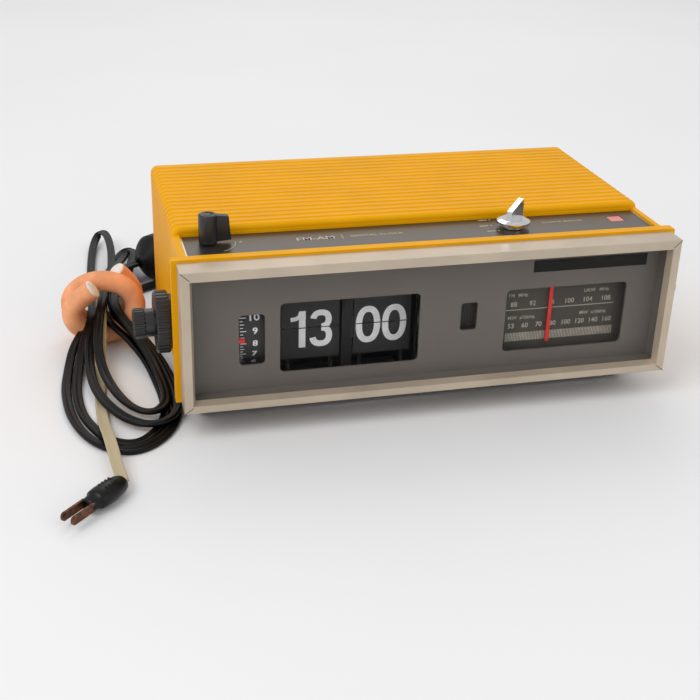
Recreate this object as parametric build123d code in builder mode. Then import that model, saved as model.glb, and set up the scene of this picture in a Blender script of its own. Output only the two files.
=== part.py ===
from build123d import *
import os
from math import cos, pi, radians, sin, tan

# A mains table clock radio with a split-leaf clock, in millimetres.
# X runs across the set, -Y is the front and +Z is up.
# The origin is on the table, under the middle of the set.

# ---------------------------------------------------------------- driving dimensions
DEPTH = 178.0  # front of the bezel to the back of the cabinet
FRONT = -DEPTH / 2
BACK = DEPTH / 2

BEZEL_HALF = 148.5
BEZEL_LOW = 18.0
BEZEL_TOP = 104.0
BEZEL_DEPTH = 16.0

CAB_HALF = 146.5
CAB_WALL = 2.4
CAB_CORNER = 5.0
CAB_LOW = 18.0
RIB_TOP = 109.5
STRIP_TOP = 105.2
FLANGE_HALF = 151.5
FLANGE_TOP = 105.5
FLANGE_BACK = FRONT + 22.0
STEP_Y = FRONT + 56.5

GROOVES = 17
GROOVE_PITCH = 6.8
GROOVE_FIRST = FRONT + 62.0
GROOVE_RADIUS = 1.6
GROOVE_LIFT = 0.6  # how far the groove's centre stands above the surface

PLATE_HALF = 142.0
PLATE_TOP = 103.8
PLATE_THICK = 0.8
POCKET_FLOOR = PLATE_TOP - PLATE_THICK

BASE_FLOOR = 3.0
BASE_WALL = 2.5
BASE_TOP_HALF = 141.0
BASE_LOW_HALF = 138.0
BASE_FRONT = FRONT + 26.0
BASE_BACK = BACK - 3.0
DECK = BASE_FLOOR + BASE_WALL  # the inside floor that the works stand on

LENS_FRONT = FRONT + 4.6
LENS_THICK = 2.0
MASK_BACK = FRONT + 15.5
MASK_THICK = 1.5
MASK_FACE = MASK_BACK - MASK_THICK
WINDOW_MID_Z = 60.6  # middle height of the glazed opening

SIDE_AXIS_Y = FRONT + 46.5  # axis of the controls on both ends
SIDE_AXIS_Z = 56.0
WHEEL_RADIUS = 18.4
SMALL_KNOB_RADIUS = 9.0
KNOB_END = 171.5
SLEEVE_RADIUS = 4.5
SPINDLE_RADIUS = 2.5
RUN_GAP = 0.06  # radial running clearance

DRUM_RADIUS = 30.0  # alarm drum
AXLE_Y = FRONT + 49.0  # axle of the two leaf wheels
AXLE_Z = 50.5
HINGE_Z = 52.6  # line that the leaves fall about
LEAF_Y = FRONT + 29.5
LEAF_THICK = 0.5
LEAF_HEIGHT = 19.3
LEAF_GAP = 0.3
HOUR_LEFT = -88.0
MINUTE_LEFT = -44.0
LEAF_WIDTH = 36.0

NEEDLE_X = 77.0

SLEEP_X = -127.0
SLEEP_Y = FRONT + 44.0
SELECTOR_X = 56.0
SELECTOR_Y = FRONT + 38.5

CORD_RADIUS = 2.4
RIBBON_RADIUS = 1.6

os.makedirs("parts", exist_ok=True)


# ---------------------------------------------------------------- helpers
def save(builder, label):
    """Label a finished piece and write its STEP file."""
    builder.part.label = label
    export_step(builder.part, f"parts/{label}.step")


def block(low, high, mode=Mode.ADD):
    """A box between two opposite corners."""
    size = [b - a for a, b in zip(low, high)]
    middle = tuple((a + b) / 2 for a, b in zip(low, high))
    with Locations(middle):
        Box(*size, mode=mode)


def bar(start, length, radius, axis=(1, 0, 0), mode=Mode.ADD):
    """A round bar from its start point along an axis."""
    with Locations(Plane(origin=start, z_dir=axis)):
        Cylinder(radius, length, align=(Align.CENTER, Align.CENTER, Align.MIN), mode=mode)


def cone(start, length, low_radius, high_radius, axis=(0, 0, 1), mode=Mode.ADD):
    """A tapered round bar."""
    with Locations(Plane(origin=start, z_dir=axis)):
        Cone(low_radius, high_radius, length, align=(Align.CENTER, Align.CENTER, Align.MIN), mode=mode)


def flute_ring(x_start, length, axis_y, axis_z, radius, count, flute):
    """Cut evenly spaced round flutes along X into the rim of a knob."""
    for number in range(count):
        angle = 2 * pi * number / count
        start = (x_start, axis_y + radius * cos(angle), axis_z + radius * sin(angle))
        bar(start, length, flute, mode=Mode.SUBTRACT)


def corner_radii(points):
    """Largest smooth arc at each corner of a route: 0.45 of the shorter run over tan(half turn)."""
    places = [Vector(*point) for point in points]
    radii = []
    for before, here, after in zip(places, places[1:], places[2:]):
        run_in = here - before
        run_out = after - here
        half_turn = radians(run_in.get_angle(run_out)) / 2
        radii.append(0.45 * min(run_in.length, run_out.length) / tan(half_turn))
    return radii


def cord_tube(points, radius, label):
    """A cord's plain tube: straight runs joined by tangent arcs. Prints its radii and its volume test."""
    radii = corner_radii(points)
    start = Vector(*points[0])
    heading = (Vector(*points[1]) - start).normalized()
    with BuildPart() as tube:
        with BuildLine() as route:
            FilletPolyline(*points, radius=radii)
        with BuildSketch(Plane(origin=start, z_dir=heading)):
            Circle(radius)
        sweep(path=route.wires()[0])
    length = route.wires()[0].length
    ratio = tube.part.volume / (pi * radius**2 * length)
    print(label, "length", round(length, 1), "volume / (section x length)", round(ratio, 3))
    print(label, "radii", [round(value, 1) for value in radii])
    save(tube, label)


# ---------------------------------------------------------------- cabinet
def side_profile(half_width, top, low, corner):
    """Closed outline of the cabinet's section: square foot, rounded shoulders."""
    with BuildSketch(Plane.XZ) as outline:
        with BuildLine():
            Polyline(
                (-half_width, low), (-half_width, top), (half_width, top), (half_width, low), close=True
            )
        make_face()
        shoulders = outline.vertices().group_by(Axis.Y)[-1]
        if corner:
            fillet(shoulders, corner)
    return outline.sketch


def section_slab(profile, y_start, y_end, mode=Mode.ADD):
    """Extrude a section drawn on XZ between two Y stations."""
    placed = profile.moved(Location((0, y_start, 0)))
    extrude(placed, amount=y_end - y_start, dir=(0, 1, 0), mode=mode)


rear_section = side_profile(CAB_HALF, RIB_TOP, CAB_LOW, CAB_CORNER)
front_section = side_profile(CAB_HALF, STRIP_TOP, CAB_LOW, 1.5)
flange_section = side_profile(FLANGE_HALF, FLANGE_TOP, CAB_LOW, 1.0)
rear_room = side_profile(CAB_HALF - CAB_WALL, RIB_TOP - 3.2, CAB_LOW - 1, CAB_CORNER - 1.5)
front_room = side_profile(CAB_HALF - CAB_WALL, POCKET_FLOOR - 2.0, CAB_LOW - 1, 1.0)

with BuildPart() as cabinet:
    section_slab(rear_section, STEP_Y, BACK)
    step_edge = cabinet.edges().filter_by(Axis.X).group_by(Axis.Y)[0].sort_by(Axis.Z)[-1]
    fillet(step_edge, 3.0)
    section_slab(front_section, FLANGE_BACK - 0.5, STEP_Y + 4)
    section_slab(flange_section, FRONT + BEZEL_DEPTH, FLANGE_BACK)
    section_slab(rear_room, STEP_Y + 2, BACK + 1, mode=Mode.SUBTRACT)
    section_slab(front_room, FRONT, STEP_Y + 3, mode=Mode.SUBTRACT)
    block(
        (-PLATE_HALF - 0.2, FLANGE_BACK, POCKET_FLOOR),
        (PLATE_HALF + 0.2, STEP_Y - 0.3, RIB_TOP),
        mode=Mode.SUBTRACT,
    )
    # Rounded grooves run up one side, over the top and down the other.
    arm = CAB_HALF + GROOVE_LIFT
    roof = RIB_TOP + GROOVE_LIFT
    bend = CAB_CORNER + GROOVE_LIFT
    for number in range(GROOVES):
        station = GROOVE_FIRST + number * GROOVE_PITCH
        with BuildLine(mode=Mode.PRIVATE) as hoop:
            FilletPolyline(
                (-arm, station, CAB_LOW - 1),
                (-arm, station, roof),
                (arm, station, roof),
                (arm, station, CAB_LOW - 1),
                radius=bend,
            )
        with BuildSketch(Plane(origin=(-arm, station, CAB_LOW - 1), z_dir=(0, 0, 1)), mode=Mode.PRIVATE) as bit:
            Circle(GROOVE_RADIUS)
        sweep(bit.sketch, path=hoop.wires()[0], mode=Mode.SUBTRACT)
    # Openings: control spindles on both ends, the two top shafts and the indicator.
    for side in (-1, 1):
        bar((side * (CAB_HALF - 6), SIDE_AXIS_Y, SIDE_AXIS_Z), 12, 7, axis=(side, 0, 0), mode=Mode.SUBTRACT)
    bar((SLEEP_X, SLEEP_Y, 98), 10, 5.2, axis=(0, 0, 1), mode=Mode.SUBTRACT)
    bar((SELECTOR_X, SELECTOR_Y, 98), 10, 5.2, axis=(0, 0, 1), mode=Mode.SUBTRACT)
save(cabinet, "cabinet")


# ---------------------------------------------------------------- base, feet and back
def base_slab(low_z, high_z, low_half, high_half, inset):
    """One tapered storey of the base tray."""
    lower = Plane.XY.offset(low_z)
    upper = Plane.XY.offset(high_z)
    length = BASE_BACK - BASE_FRONT - 2 * inset
    middle_y = (BASE_BACK + BASE_FRONT) / 2
    with BuildSketch(lower, mode=Mode.PRIVATE) as foot:
        with Locations((0, middle_y)):
            RectangleRounded(2 * low_half, length - 3, 4)
    with BuildSketch(upper, mode=Mode.PRIVATE) as head:
        with Locations((0, middle_y)):
            RectangleRounded(2 * high_half, length, 4)
    return foot.sketch, head.sketch


SPEAKER_X = 30.0
SPEAKER_Y = FRONT + 127.0
SPEAKER_RADIUS = 38.0
BASE_RIM = 17.7  # top of the base's visible wall, just under the cabinet
FEET = [(x, y) for x in (-122.0, 122.0) for y in (BASE_FRONT + 14, BASE_BACK - 14)]
POST_SPOTS = [(x, y) for x in (-66.0, 124.0) for y in (FRONT + 84.0, FRONT + 166.0)]
BOARD_Z = 74.0
POST_RADIUS = 3.5

with BuildPart() as chassis_base:
    loft(base_slab(BASE_FLOOR, BASE_RIM, BASE_LOW_HALF, BASE_TOP_HALF, 0))
    loft(
        base_slab(
            DECK, BASE_RIM + 1, BASE_LOW_HALF - BASE_WALL, BASE_TOP_HALF - BASE_WALL + 0.2, BASE_WALL
        ),
        mode=Mode.SUBTRACT,
    )
    # Sound slots under the loudspeaker.
    for number in range(-4, 5):
        offset = number * 7.0
        half = (32.0**2 - offset**2) ** 0.5
        block(
            (SPEAKER_X - half, SPEAKER_Y + offset - 1.6, 0),
            (SPEAKER_X + half, SPEAKER_Y + offset + 1.6, DECK + 1),
            mode=Mode.SUBTRACT,
        )
    # Cooling slots under the transformer.
    for number in range(7):
        x = -116.0 + number * 6.0
        block((x, FRONT + 112, 0), (x + 2.6, FRONT + 152, DECK + 1), mode=Mode.SUBTRACT)
    for x, y in POST_SPOTS:
        bar((x, y, DECK - 1), BOARD_Z - DECK + 1, POST_RADIUS, axis=(0, 0, 1))
save(chassis_base, "chassis_base")

with BuildPart() as feet:
    for x, y in FEET:
        cone((x, y, 0), BASE_FLOOR, 7.5, 8.5)
save(feet, "feet")

COVER_BACK = BACK - 1.6
COVER_THICK = 2.4
COVER_HALF = CAB_HALF - CAB_WALL - 0.3
COVER_TOP = RIB_TOP - 3.6
SCREWS = [(x, z) for x in (-134.0, 134.0) for z in (26.0, 98.0)]
GLAND_X = -104.0
GLAND_Z = 30.0
AERIAL_X = -70.0
AERIAL_Z = 28.0

with BuildPart() as rear_cover:
    block((-COVER_HALF, COVER_BACK - COVER_THICK, CAB_LOW), (COVER_HALF, COVER_BACK, COVER_TOP))
    fillet(rear_cover.edges().filter_by(Axis.Y).group_by(Axis.Z)[-1], CAB_CORNER)
    for row in range(5):
        z = 62.0 + row * 7.0
        for column in range(9):
            x = -108.0 + column * 27.0
            block((x - 10, COVER_BACK - 4, z - 1.5), (x + 10, COVER_BACK + 1, z + 1.5), mode=Mode.SUBTRACT)
    for x, z in SCREWS:
        bar((x, COVER_BACK + 1, z), 5, 1.7, axis=(0, -1, 0), mode=Mode.SUBTRACT)
    bar((GLAND_X, COVER_BACK + 1, GLAND_Z), 5, 5.5, axis=(0, -1, 0), mode=Mode.SUBTRACT)
    block(
        (AERIAL_X - 16, COVER_BACK - 4, AERIAL_Z - 6),
        (AERIAL_X + 16, COVER_BACK + 1, AERIAL_Z + 6),
        mode=Mode.SUBTRACT,
    )
save(rear_cover, "rear_cover")

with BuildPart() as rear_screws:
    for x, z in SCREWS:
        bar((x, COVER_BACK + 1.4, z), 1.4, 3.2, axis=(0, -1, 0))
        bar((x, COVER_BACK, z), 9, 1.6, axis=(0, -1, 0))
        block((x - 2.2, COVER_BACK + 0.8, z - 0.4), (x + 2.2, COVER_BACK + 2, z + 0.4), mode=Mode.SUBTRACT)
        block((x - 0.4, COVER_BACK + 0.8, z - 2.2), (x + 0.4, COVER_BACK + 2, z + 2.2), mode=Mode.SUBTRACT)
save(rear_screws, "rear_screws")

with BuildPart() as aerial_terminal:
    block(
        (AERIAL_X - 16, COVER_BACK - 5, AERIAL_Z - 6), (AERIAL_X + 16, COVER_BACK - 0.4, AERIAL_Z + 6)
    )
    for x in (AERIAL_X - 8, AERIAL_X + 8):
        bar((x, COVER_BACK + 1, AERIAL_Z), 2, 3.2, axis=(0, -1, 0))
save(aerial_terminal, "aerial_terminal")

GLAND_END = BACK + 12.0
with BuildPart() as cord_gland:
    bar((GLAND_X, COVER_BACK - 4.4, GLAND_Z), 2, 7, axis=(0, 1, 0))
    bar((GLAND_X, COVER_BACK - 3, GLAND_Z), 3, 5.5, axis=(0, 1, 0))
    cone((GLAND_X, COVER_BACK, GLAND_Z), GLAND_END - COVER_BACK, 6.0, 3.6, axis=(0, 1, 0))
save(cord_gland, "cord_gland")

# ---------------------------------------------------------------- front
BAND = 5.1  # width of the bezel's flat front face
SLOPE = 1.7  # how far the inner bevel leans in
BEVEL_DEEP = LENS_FRONT - FRONT
OPEN_HALF = BEZEL_HALF - BAND
OPEN_TALL = BEZEL_TOP - BEZEL_LOW - 2 * BAND
REBATE_HALF = 144.5
REBATE_TALL = 78.0


def front_plane(depth):
    """A sketch plane facing the viewer, at a depth behind the front of the set."""
    return Plane(origin=(0, FRONT + depth, 0), x_dir=(1, 0, 0), z_dir=(0, -1, 0))


with BuildPart() as front_bezel:
    block((-BEZEL_HALF, FRONT, BEZEL_LOW), (BEZEL_HALF, FRONT + BEZEL_DEPTH, BEZEL_TOP))
    chamfer(front_bezel.faces().sort_by(Axis.Y)[0].edges(), 0.5)
    with BuildSketch(front_plane(0)) as mouth:
        with Locations((0, WINDOW_MID_Z)):
            Rectangle(2 * OPEN_HALF, OPEN_TALL)
    with BuildSketch(front_plane(BEVEL_DEEP)) as throat:
        with Locations((0, WINDOW_MID_Z)):
            Rectangle(2 * (OPEN_HALF - SLOPE), OPEN_TALL - 2 * SLOPE)
    loft([mouth.sketch, throat.sketch], mode=Mode.SUBTRACT)
    block(
        (-REBATE_HALF, LENS_FRONT - 0.05, WINDOW_MID_Z - REBATE_TALL / 2),
        (REBATE_HALF, FRONT + BEZEL_DEPTH + 1, WINDOW_MID_Z + REBATE_TALL / 2),
        mode=Mode.SUBTRACT,
    )
save(front_bezel, "front_bezel")

GLASS_HALF = REBATE_HALF - 0.2
GLASS_TALL = REBATE_TALL - 0.4
with BuildPart() as front_lens:
    block(
        (-GLASS_HALF, LENS_FRONT, WINDOW_MID_Z - GLASS_TALL / 2),
        (GLASS_HALF, LENS_FRONT + LENS_THICK, WINDOW_MID_Z + GLASS_TALL / 2),
    )
save(front_lens, "front_lens")

CLOCK_WINDOW = (-91.0, -7.5, 32.5, 76.2)
ALARM_WINDOW = (-114.8, -99.7, 39.0, 70.6)
LAMP_WINDOW = (17.8, 28.2, 50.0, 67.7)
DIAL_WINDOW = (46.0, 123.6, 33.2, 73.9)
with BuildPart() as front_mask:
    mask_front = LENS_FRONT + LENS_THICK
    block(
        (-GLASS_HALF, mask_front, WINDOW_MID_Z - GLASS_TALL / 2),
        (GLASS_HALF, MASK_BACK, WINDOW_MID_Z + GLASS_TALL / 2),
    )
    block(
        (-GLASS_HALF + 1.8, mask_front - 1, WINDOW_MID_Z - GLASS_TALL / 2 + 1.8),
        (GLASS_HALF - 1.8, MASK_FACE, WINDOW_MID_Z + GLASS_TALL / 2 - 1.8),
        mode=Mode.SUBTRACT,
    )
    for left, right, low, high in (CLOCK_WINDOW, ALARM_WINDOW, LAMP_WINDOW, DIAL_WINDOW):
        corner = min(3.0, (right - left) / 6)
        with BuildSketch(front_plane(0)) as hole:
            with Locations(((left + right) / 2, (low + high) / 2)):
                RectangleRounded(right - left, high - low, corner)
        extrude(hole.sketch, amount=-30, mode=Mode.SUBTRACT)
save(front_mask, "front_mask")

with BuildPart() as nameplate:
    block((61.5, MASK_FACE - 0.4, 84.3), (134.3, MASK_FACE, 91.7))
save(nameplate, "nameplate")

with BuildPart() as pilot_window:
    left, right, low, high = LAMP_WINDOW
    block((left - 1.5, MASK_BACK, low - 1.5), (right + 1.5, MASK_BACK + 5, high + 1.5))
    block((left, MASK_BACK - 1, low), (right, MASK_BACK + 3.6, high), mode=Mode.SUBTRACT)
    PILOT_X = (left + right) / 2
    PILOT_Z = (low + high) / 2
save(pilot_window, "pilot_window")

with BuildPart() as alarm_pointer:
    block((-114.8, MASK_FACE + 0.3, 53.2), (-111.4, MASK_FACE + 1.1, 55.6))
    block((-116.6, MASK_BACK, 52.6), (-114.0, MASK_BACK + 0.5, 56.2))
    block((-114.8, MASK_FACE + 0.3, 53.2), (-114.0, MASK_BACK + 0.5, 55.6))
save(alarm_pointer, "alarm_pointer")

# ---------------------------------------------------------------- top plate and its two controls
INDICATOR_X = 125.5
INDICATOR_Y = FRONT + 43.5
INDICATOR_HALF = 4.6
with BuildPart() as top_plate:
    block((-PLATE_HALF, FLANGE_BACK + 0.2, POCKET_FLOOR), (PLATE_HALF, STEP_Y - 0.6, PLATE_TOP))
    bar((SLEEP_X, SLEEP_Y, 102), 3, 3.8, axis=(0, 0, 1), mode=Mode.SUBTRACT)
    bar((SELECTOR_X, SELECTOR_Y, 102), 3, 3.8, axis=(0, 0, 1), mode=Mode.SUBTRACT)
    block(
        (INDICATOR_X - INDICATOR_HALF, INDICATOR_Y - INDICATOR_HALF, 102),
        (INDICATOR_X + INDICATOR_HALF, INDICATOR_Y + INDICATOR_HALF, 105),
        mode=Mode.SUBTRACT,
    )
save(top_plate, "top_plate")

with BuildPart() as indicator_jewel:
    block(
        (INDICATOR_X - INDICATOR_HALF + 0.1, INDICATOR_Y - INDICATOR_HALF + 0.1, POCKET_FLOOR),
        (INDICATOR_X + INDICATOR_HALF - 0.1, INDICATOR_Y + INDICATOR_HALF - 0.1, POCKET_FLOOR + 0.5),
    )
save(indicator_jewel, "indicator_jewel")

SHAFT_RADIUS = 3.0
SHAFT_LOW = 92.0  # lower end of the two upright control shafts
SLEEP_BOTTOM = PLATE_TOP + 1.0
SLEEP_TALL = 16.2
with BuildPart() as sleep_knob:
    bar((SLEEP_X, SLEEP_Y, SLEEP_BOTTOM), SLEEP_TALL, 5.4, axis=(0, 0, 1))
    with BuildSketch(Plane.XZ.offset(-SLEEP_Y - 2.0)) as fin:
        with BuildLine():
            Polyline(
                (SLEEP_X, SLEEP_BOTTOM),
                (SLEEP_X + 13.0, SLEEP_BOTTOM + 1.2),
                (SLEEP_X + 11.8, SLEEP_BOTTOM + 15.2),
                (SLEEP_X + 4.0, SLEEP_BOTTOM + SLEEP_TALL),
                (SLEEP_X, SLEEP_BOTTOM + SLEEP_TALL),
                close=True,
            )
        make_face()
    extrude(fin.sketch, amount=4.0, dir=(0, -1, 0))
    bar((SLEEP_X, SLEEP_Y, SLEEP_BOTTOM + SLEEP_TALL - 3.0), 5, 4.2, axis=(0, 0, 1), mode=Mode.SUBTRACT)
    bar((SLEEP_X, SLEEP_Y, SHAFT_LOW), SLEEP_BOTTOM + 1 - SHAFT_LOW, SHAFT_RADIUS, axis=(0, 0, 1))
save(sleep_knob, "sleep_knob")


def switch_body(x, y, half_x, half_y, low, high):
    """A switch or timer can with a threaded neck that stands in the cabinet's hole."""
    with BuildPart() as body:
        block((x - half_x, y - half_y, low), (x + half_x, y + half_y, high))
        bar((x, y, high), POCKET_FLOOR - high, 4.8, axis=(0, 0, 1))
        for side in (-1, 0, 1):
            block((x + side * 5 - 0.8, y - 2, low - 5), (x + side * 5 + 0.8, y - 1.4, low))
        bar((x, y, low + 3), 40, SHAFT_RADIUS + RUN_GAP, axis=(0, 0, 1), mode=Mode.SUBTRACT)
    return body


CONTROL_TOP = POCKET_FLOOR - 2.3
sleep_timer = switch_body(SLEEP_X, SLEEP_Y, 12, 12, 88, CONTROL_TOP)
save(sleep_timer, "sleep_timer")

DISC_LOW = PLATE_TOP + 3.2
DISC_RADIUS = 10.0
BLADE_TURN = 43.0
with BuildPart() as selector_knob:
    bar((SELECTOR_X, SELECTOR_Y, PLATE_TOP + 0.5), DISC_LOW - PLATE_TOP - 0.5, 5.6, axis=(0, 0, 1))
    bar((SELECTOR_X, SELECTOR_Y, DISC_LOW), 1.6, DISC_RADIUS, axis=(0, 0, 1))
    cone((SELECTOR_X, SELECTOR_Y, DISC_LOW + 1.6), 1.2, DISC_RADIUS, 7.5)
    along = (cos(radians(BLADE_TURN)), sin(radians(BLADE_TURN)), 0)
    across = (along[1], -along[0], 0)
    blade_plane = Plane(origin=(SELECTOR_X, SELECTOR_Y, 0), x_dir=along, z_dir=across)
    with BuildSketch(blade_plane) as blade:
        with BuildLine():
            Polyline(
                (-7.5, DISC_LOW + 1),
                (9.2, DISC_LOW + 1),
                (9.2, DISC_LOW + 12.6),
                (8.4, DISC_LOW + 13.2),
                (-6.2, DISC_LOW + 8.6),
                close=True,
            )
        make_face()
    extrude(blade.sketch, amount=1.7, both=True)
    bar((SELECTOR_X, SELECTOR_Y, SHAFT_LOW), DISC_LOW - SHAFT_LOW, SHAFT_RADIUS, axis=(0, 0, 1))
save(selector_knob, "selector_knob")

selector_switch = switch_body(SELECTOR_X, SELECTOR_Y, 17, 12, 88, CONTROL_TOP)
save(selector_switch, "selector_switch")

# ---------------------------------------------------------------- controls on the two ends
WHEEL_OUT = 159.0
WHEEL_IN = 151.0
SKIRT_IN = CAB_HALF + 0.8
KNOB_IN = WHEEL_OUT + 0.6
FLUTES = 36
KNOB_FLUTES = 22


def big_wheel(side):
    """Fluted wheel with a smooth skirt beside the cabinet, bored for its sleeve."""
    with BuildPart() as wheel:
        bar((side * WHEEL_IN, SIDE_AXIS_Y, SIDE_AXIS_Z), WHEEL_OUT - WHEEL_IN, WHEEL_RADIUS, (side, 0, 0))
        rim = wheel.edges().filter_by(GeomType.CIRCLE)
        chamfer(rim, 0.8)
        x_low = min(side * (WHEEL_IN - 1), side * (WHEEL_OUT + 1))
        flute_ring(x_low, WHEEL_OUT - WHEEL_IN + 2, SIDE_AXIS_Y, SIDE_AXIS_Z, WHEEL_RADIUS + 0.3, FLUTES, 0.95)
        bar((side * SKIRT_IN, SIDE_AXIS_Y, SIDE_AXIS_Z), WHEEL_IN - SKIRT_IN, 16.2, (side, 0, 0))
        bar(
            (side * (SKIRT_IN - 1), SIDE_AXIS_Y, SIDE_AXIS_Z),
            WHEEL_OUT - SKIRT_IN + 2,
            SLEEVE_RADIUS,
            (side, 0, 0),
            mode=Mode.SUBTRACT,
        )
    return wheel


def small_knob(side):
    """Stepped knob: a smooth neck and a fluted grip, blind bored for its spindle."""
    with BuildPart() as knob:
        grip_in = KNOB_IN + 5.2
        bar((side * grip_in, SIDE_AXIS_Y, SIDE_AXIS_Z), KNOB_END - grip_in, SMALL_KNOB_RADIUS, (side, 0, 0))
        chamfer(knob.edges().filter_by(GeomType.CIRCLE), 0.7)
        x_low = min(side * (grip_in - 1), side * (KNOB_END + 1))
        flute_ring(
            x_low, KNOB_END - grip_in + 2, SIDE_AXIS_Y, SIDE_AXIS_Z, SMALL_KNOB_RADIUS + 0.2, KNOB_FLUTES, 0.8
        )
        bar((side * KNOB_IN, SIDE_AXIS_Y, SIDE_AXIS_Z), grip_in - KNOB_IN, 8.3, (side, 0, 0))
        bar(
            (side * (KNOB_IN - 1), SIDE_AXIS_Y, SIDE_AXIS_Z), 9, SPINDLE_RADIUS, (side, 0, 0),
            mode=Mode.SUBTRACT,
        )
    return knob


def sleeve(x_start, x_end):
    """Hollow outer shaft that turns around a spindle."""
    with BuildPart() as tube:
        bar((x_start, SIDE_AXIS_Y, SIDE_AXIS_Z), x_end - x_start, SLEEVE_RADIUS)
        bar(
            (x_start - 1, SIDE_AXIS_Y, SIDE_AXIS_Z),
            x_end - x_start + 2,
            SPINDLE_RADIUS + RUN_GAP,
            mode=Mode.SUBTRACT,
        )
    return tube


def spindle(x_start, x_end):
    """Solid inner shaft."""
    with BuildPart() as rod:
        bar((x_start, SIDE_AXIS_Y, SIDE_AXIS_Z), x_end - x_start, SPINDLE_RADIUS)
    return rod


SPINDLE_END = KNOB_IN + 8.0
DRUM_LEFT = -116.0
DRUM_RIGHT = -98.6
save(big_wheel(-1), "alarm_set_wheel")
save(sleeve(-WHEEL_OUT, DRUM_RIGHT), "alarm_sleeve")
save(small_knob(-1), "time_set_knob")
save(spindle(-SPINDLE_END, -93.0), "time_set_spindle")

with BuildPart() as alarm_drum:
    bar((DRUM_LEFT, SIDE_AXIS_Y, SIDE_AXIS_Z), DRUM_RIGHT - DRUM_LEFT, DRUM_RADIUS)
    bar((DRUM_LEFT - 1, SIDE_AXIS_Y, SIDE_AXIS_Z), 13, DRUM_RADIUS - 1.8, mode=Mode.SUBTRACT)
    bar((DRUM_LEFT, SIDE_AXIS_Y, SIDE_AXIS_Z), DRUM_RIGHT - DRUM_LEFT, 8)
    bar(
        (DRUM_LEFT - 1, SIDE_AXIS_Y, SIDE_AXIS_Z),
        DRUM_RIGHT - DRUM_LEFT + 2,
        SLEEVE_RADIUS,
        mode=Mode.SUBTRACT,
    )
save(alarm_drum, "alarm_drum")

save(big_wheel(1), "tuning_wheel")
CORD_SPOOL = 112.0
save(sleeve(CORD_SPOOL, WHEEL_OUT), "tuning_sleeve")
save(small_knob(1), "volume_knob")
save(spindle(98.0, SPINDLE_END), "volume_spindle")


BRACKET_X = 131.0
with BuildPart() as shaft_brackets:
    for side in (-1, 1):
        x = side * BRACKET_X
        web = sorted((x, x - side * 1.6))
        foot = sorted((x, x - side * 14))
        block((web[0], SIDE_AXIS_Y - 12, DECK), (web[1], SIDE_AXIS_Y + 12, 68))
        block((foot[0], SIDE_AXIS_Y - 12, DECK), (foot[1], SIDE_AXIS_Y + 12, DECK + 1.6))
        bar((x - 8, SIDE_AXIS_Y, SIDE_AXIS_Z), 16, SLEEVE_RADIUS + RUN_GAP, mode=Mode.SUBTRACT)
save(shaft_brackets, "shaft_brackets")

with BuildPart() as volume_control:
    bar((96, SIDE_AXIS_Y, SIDE_AXIS_Z), 10, 9.5)
    bar((106, SIDE_AXIS_Y, SIDE_AXIS_Z), 4.5, 4)
    bar((97.9, SIDE_AXIS_Y, SIDE_AXIS_Z), 20, SPINDLE_RADIUS + RUN_GAP, mode=Mode.SUBTRACT)
    block((97, SIDE_AXIS_Y - 8, SIDE_AXIS_Z - 16), (98.2, SIDE_AXIS_Y + 8, SIDE_AXIS_Z - 8))
save(volume_control, "volume_control")

# ---------------------------------------------------------------- split-leaf clock
AXLE_RADIUS = 1.5
FRAME_LEFT = -97.0
FRAME_RIGHT = -5.0
PLATE_GAUGE = 1.5
STOP_BACK = FRONT + 32.0
GEAR_MODULE = 0.5
GEAR_TEETH = 48
PINION_TEETH = 12
PINION_Y = AXLE_Y + GEAR_MODULE * (GEAR_TEETH + PINION_TEETH) / 2 + 0.1
POST_LEFT = -51.2
POST_RIGHT = -44.8
FRAME_TOP = 80.0


def side_plate(x):
    """One pressed side plate of the clock frame."""
    block((x, FRONT + 31, DECK), (x + PLATE_GAUGE, FRONT + 76, FRAME_TOP))


def spoke_plane(x, axis_y, turn):
    """A plane across an X axle, its first direction turned by an angle in degrees."""
    outward = (0, cos(radians(turn)), sin(radians(turn)))
    return Plane(origin=(x, axis_y, AXLE_Z), x_dir=outward, z_dir=(1, 0, 0))


with BuildPart() as clock_frame:
    side_plate(FRAME_LEFT)
    side_plate(FRAME_RIGHT)
    for y, z in ((FRONT + 72, 76), (FRONT + 72, 12)):
        block((FRAME_LEFT, y - 1, z - 4), (FRAME_RIGHT + PLATE_GAUGE, y + 1, z + 4))
    block((FRAME_LEFT, FRONT + 31, DECK), (FRAME_RIGHT + PLATE_GAUGE, FRONT + 38, DECK + 1.5))
    bar((FRAME_LEFT - 1, SIDE_AXIS_Y, SIDE_AXIS_Z), 4, SPINDLE_RADIUS + RUN_GAP, mode=Mode.SUBTRACT)
    bar((FRAME_RIGHT - 1, PINION_Y, AXLE_Z), 4, 1.2, mode=Mode.SUBTRACT)
    bar((FRAME_LEFT, AXLE_Y, AXLE_Z), FRAME_RIGHT + PLATE_GAUGE - FRAME_LEFT, AXLE_RADIUS)
    # A rest behind each pair of leaves, on two legs.
    for left in (HOUR_LEFT, MINUTE_LEFT):
        block((left + 4, LEAF_Y + LEAF_THICK, 34.0), (left + LEAF_WIDTH - 4, STOP_BACK, 36.0))
        for x in (left + 4, left + LEAF_WIDTH - 6):
            block((x, FRONT + 31, DECK), (x + 2, STOP_BACK, 36.0))
save(clock_frame, "clock_frame")

with BuildPart() as centre_post:
    block((POST_LEFT, FRONT + 28, 19.5), (POST_RIGHT, FRONT + 34, 78))
    block((POST_LEFT, FRONT + 31, DECK + 1.5), (POST_RIGHT, FRONT + 38, 22))
    # The sprung clip that holds the upper leaves back.
    block((POST_LEFT + 1.4, FRONT + 27.2, 64), (POST_RIGHT - 1.4, FRONT + 28, 77))
    block((POST_LEFT + 1.4, FRONT + 26.2, 70.6), (POST_RIGHT - 1.4, FRONT + 28, 71.8))
save(centre_post, "centre_post")

WHEEL_FLANGE = 15.4


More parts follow.
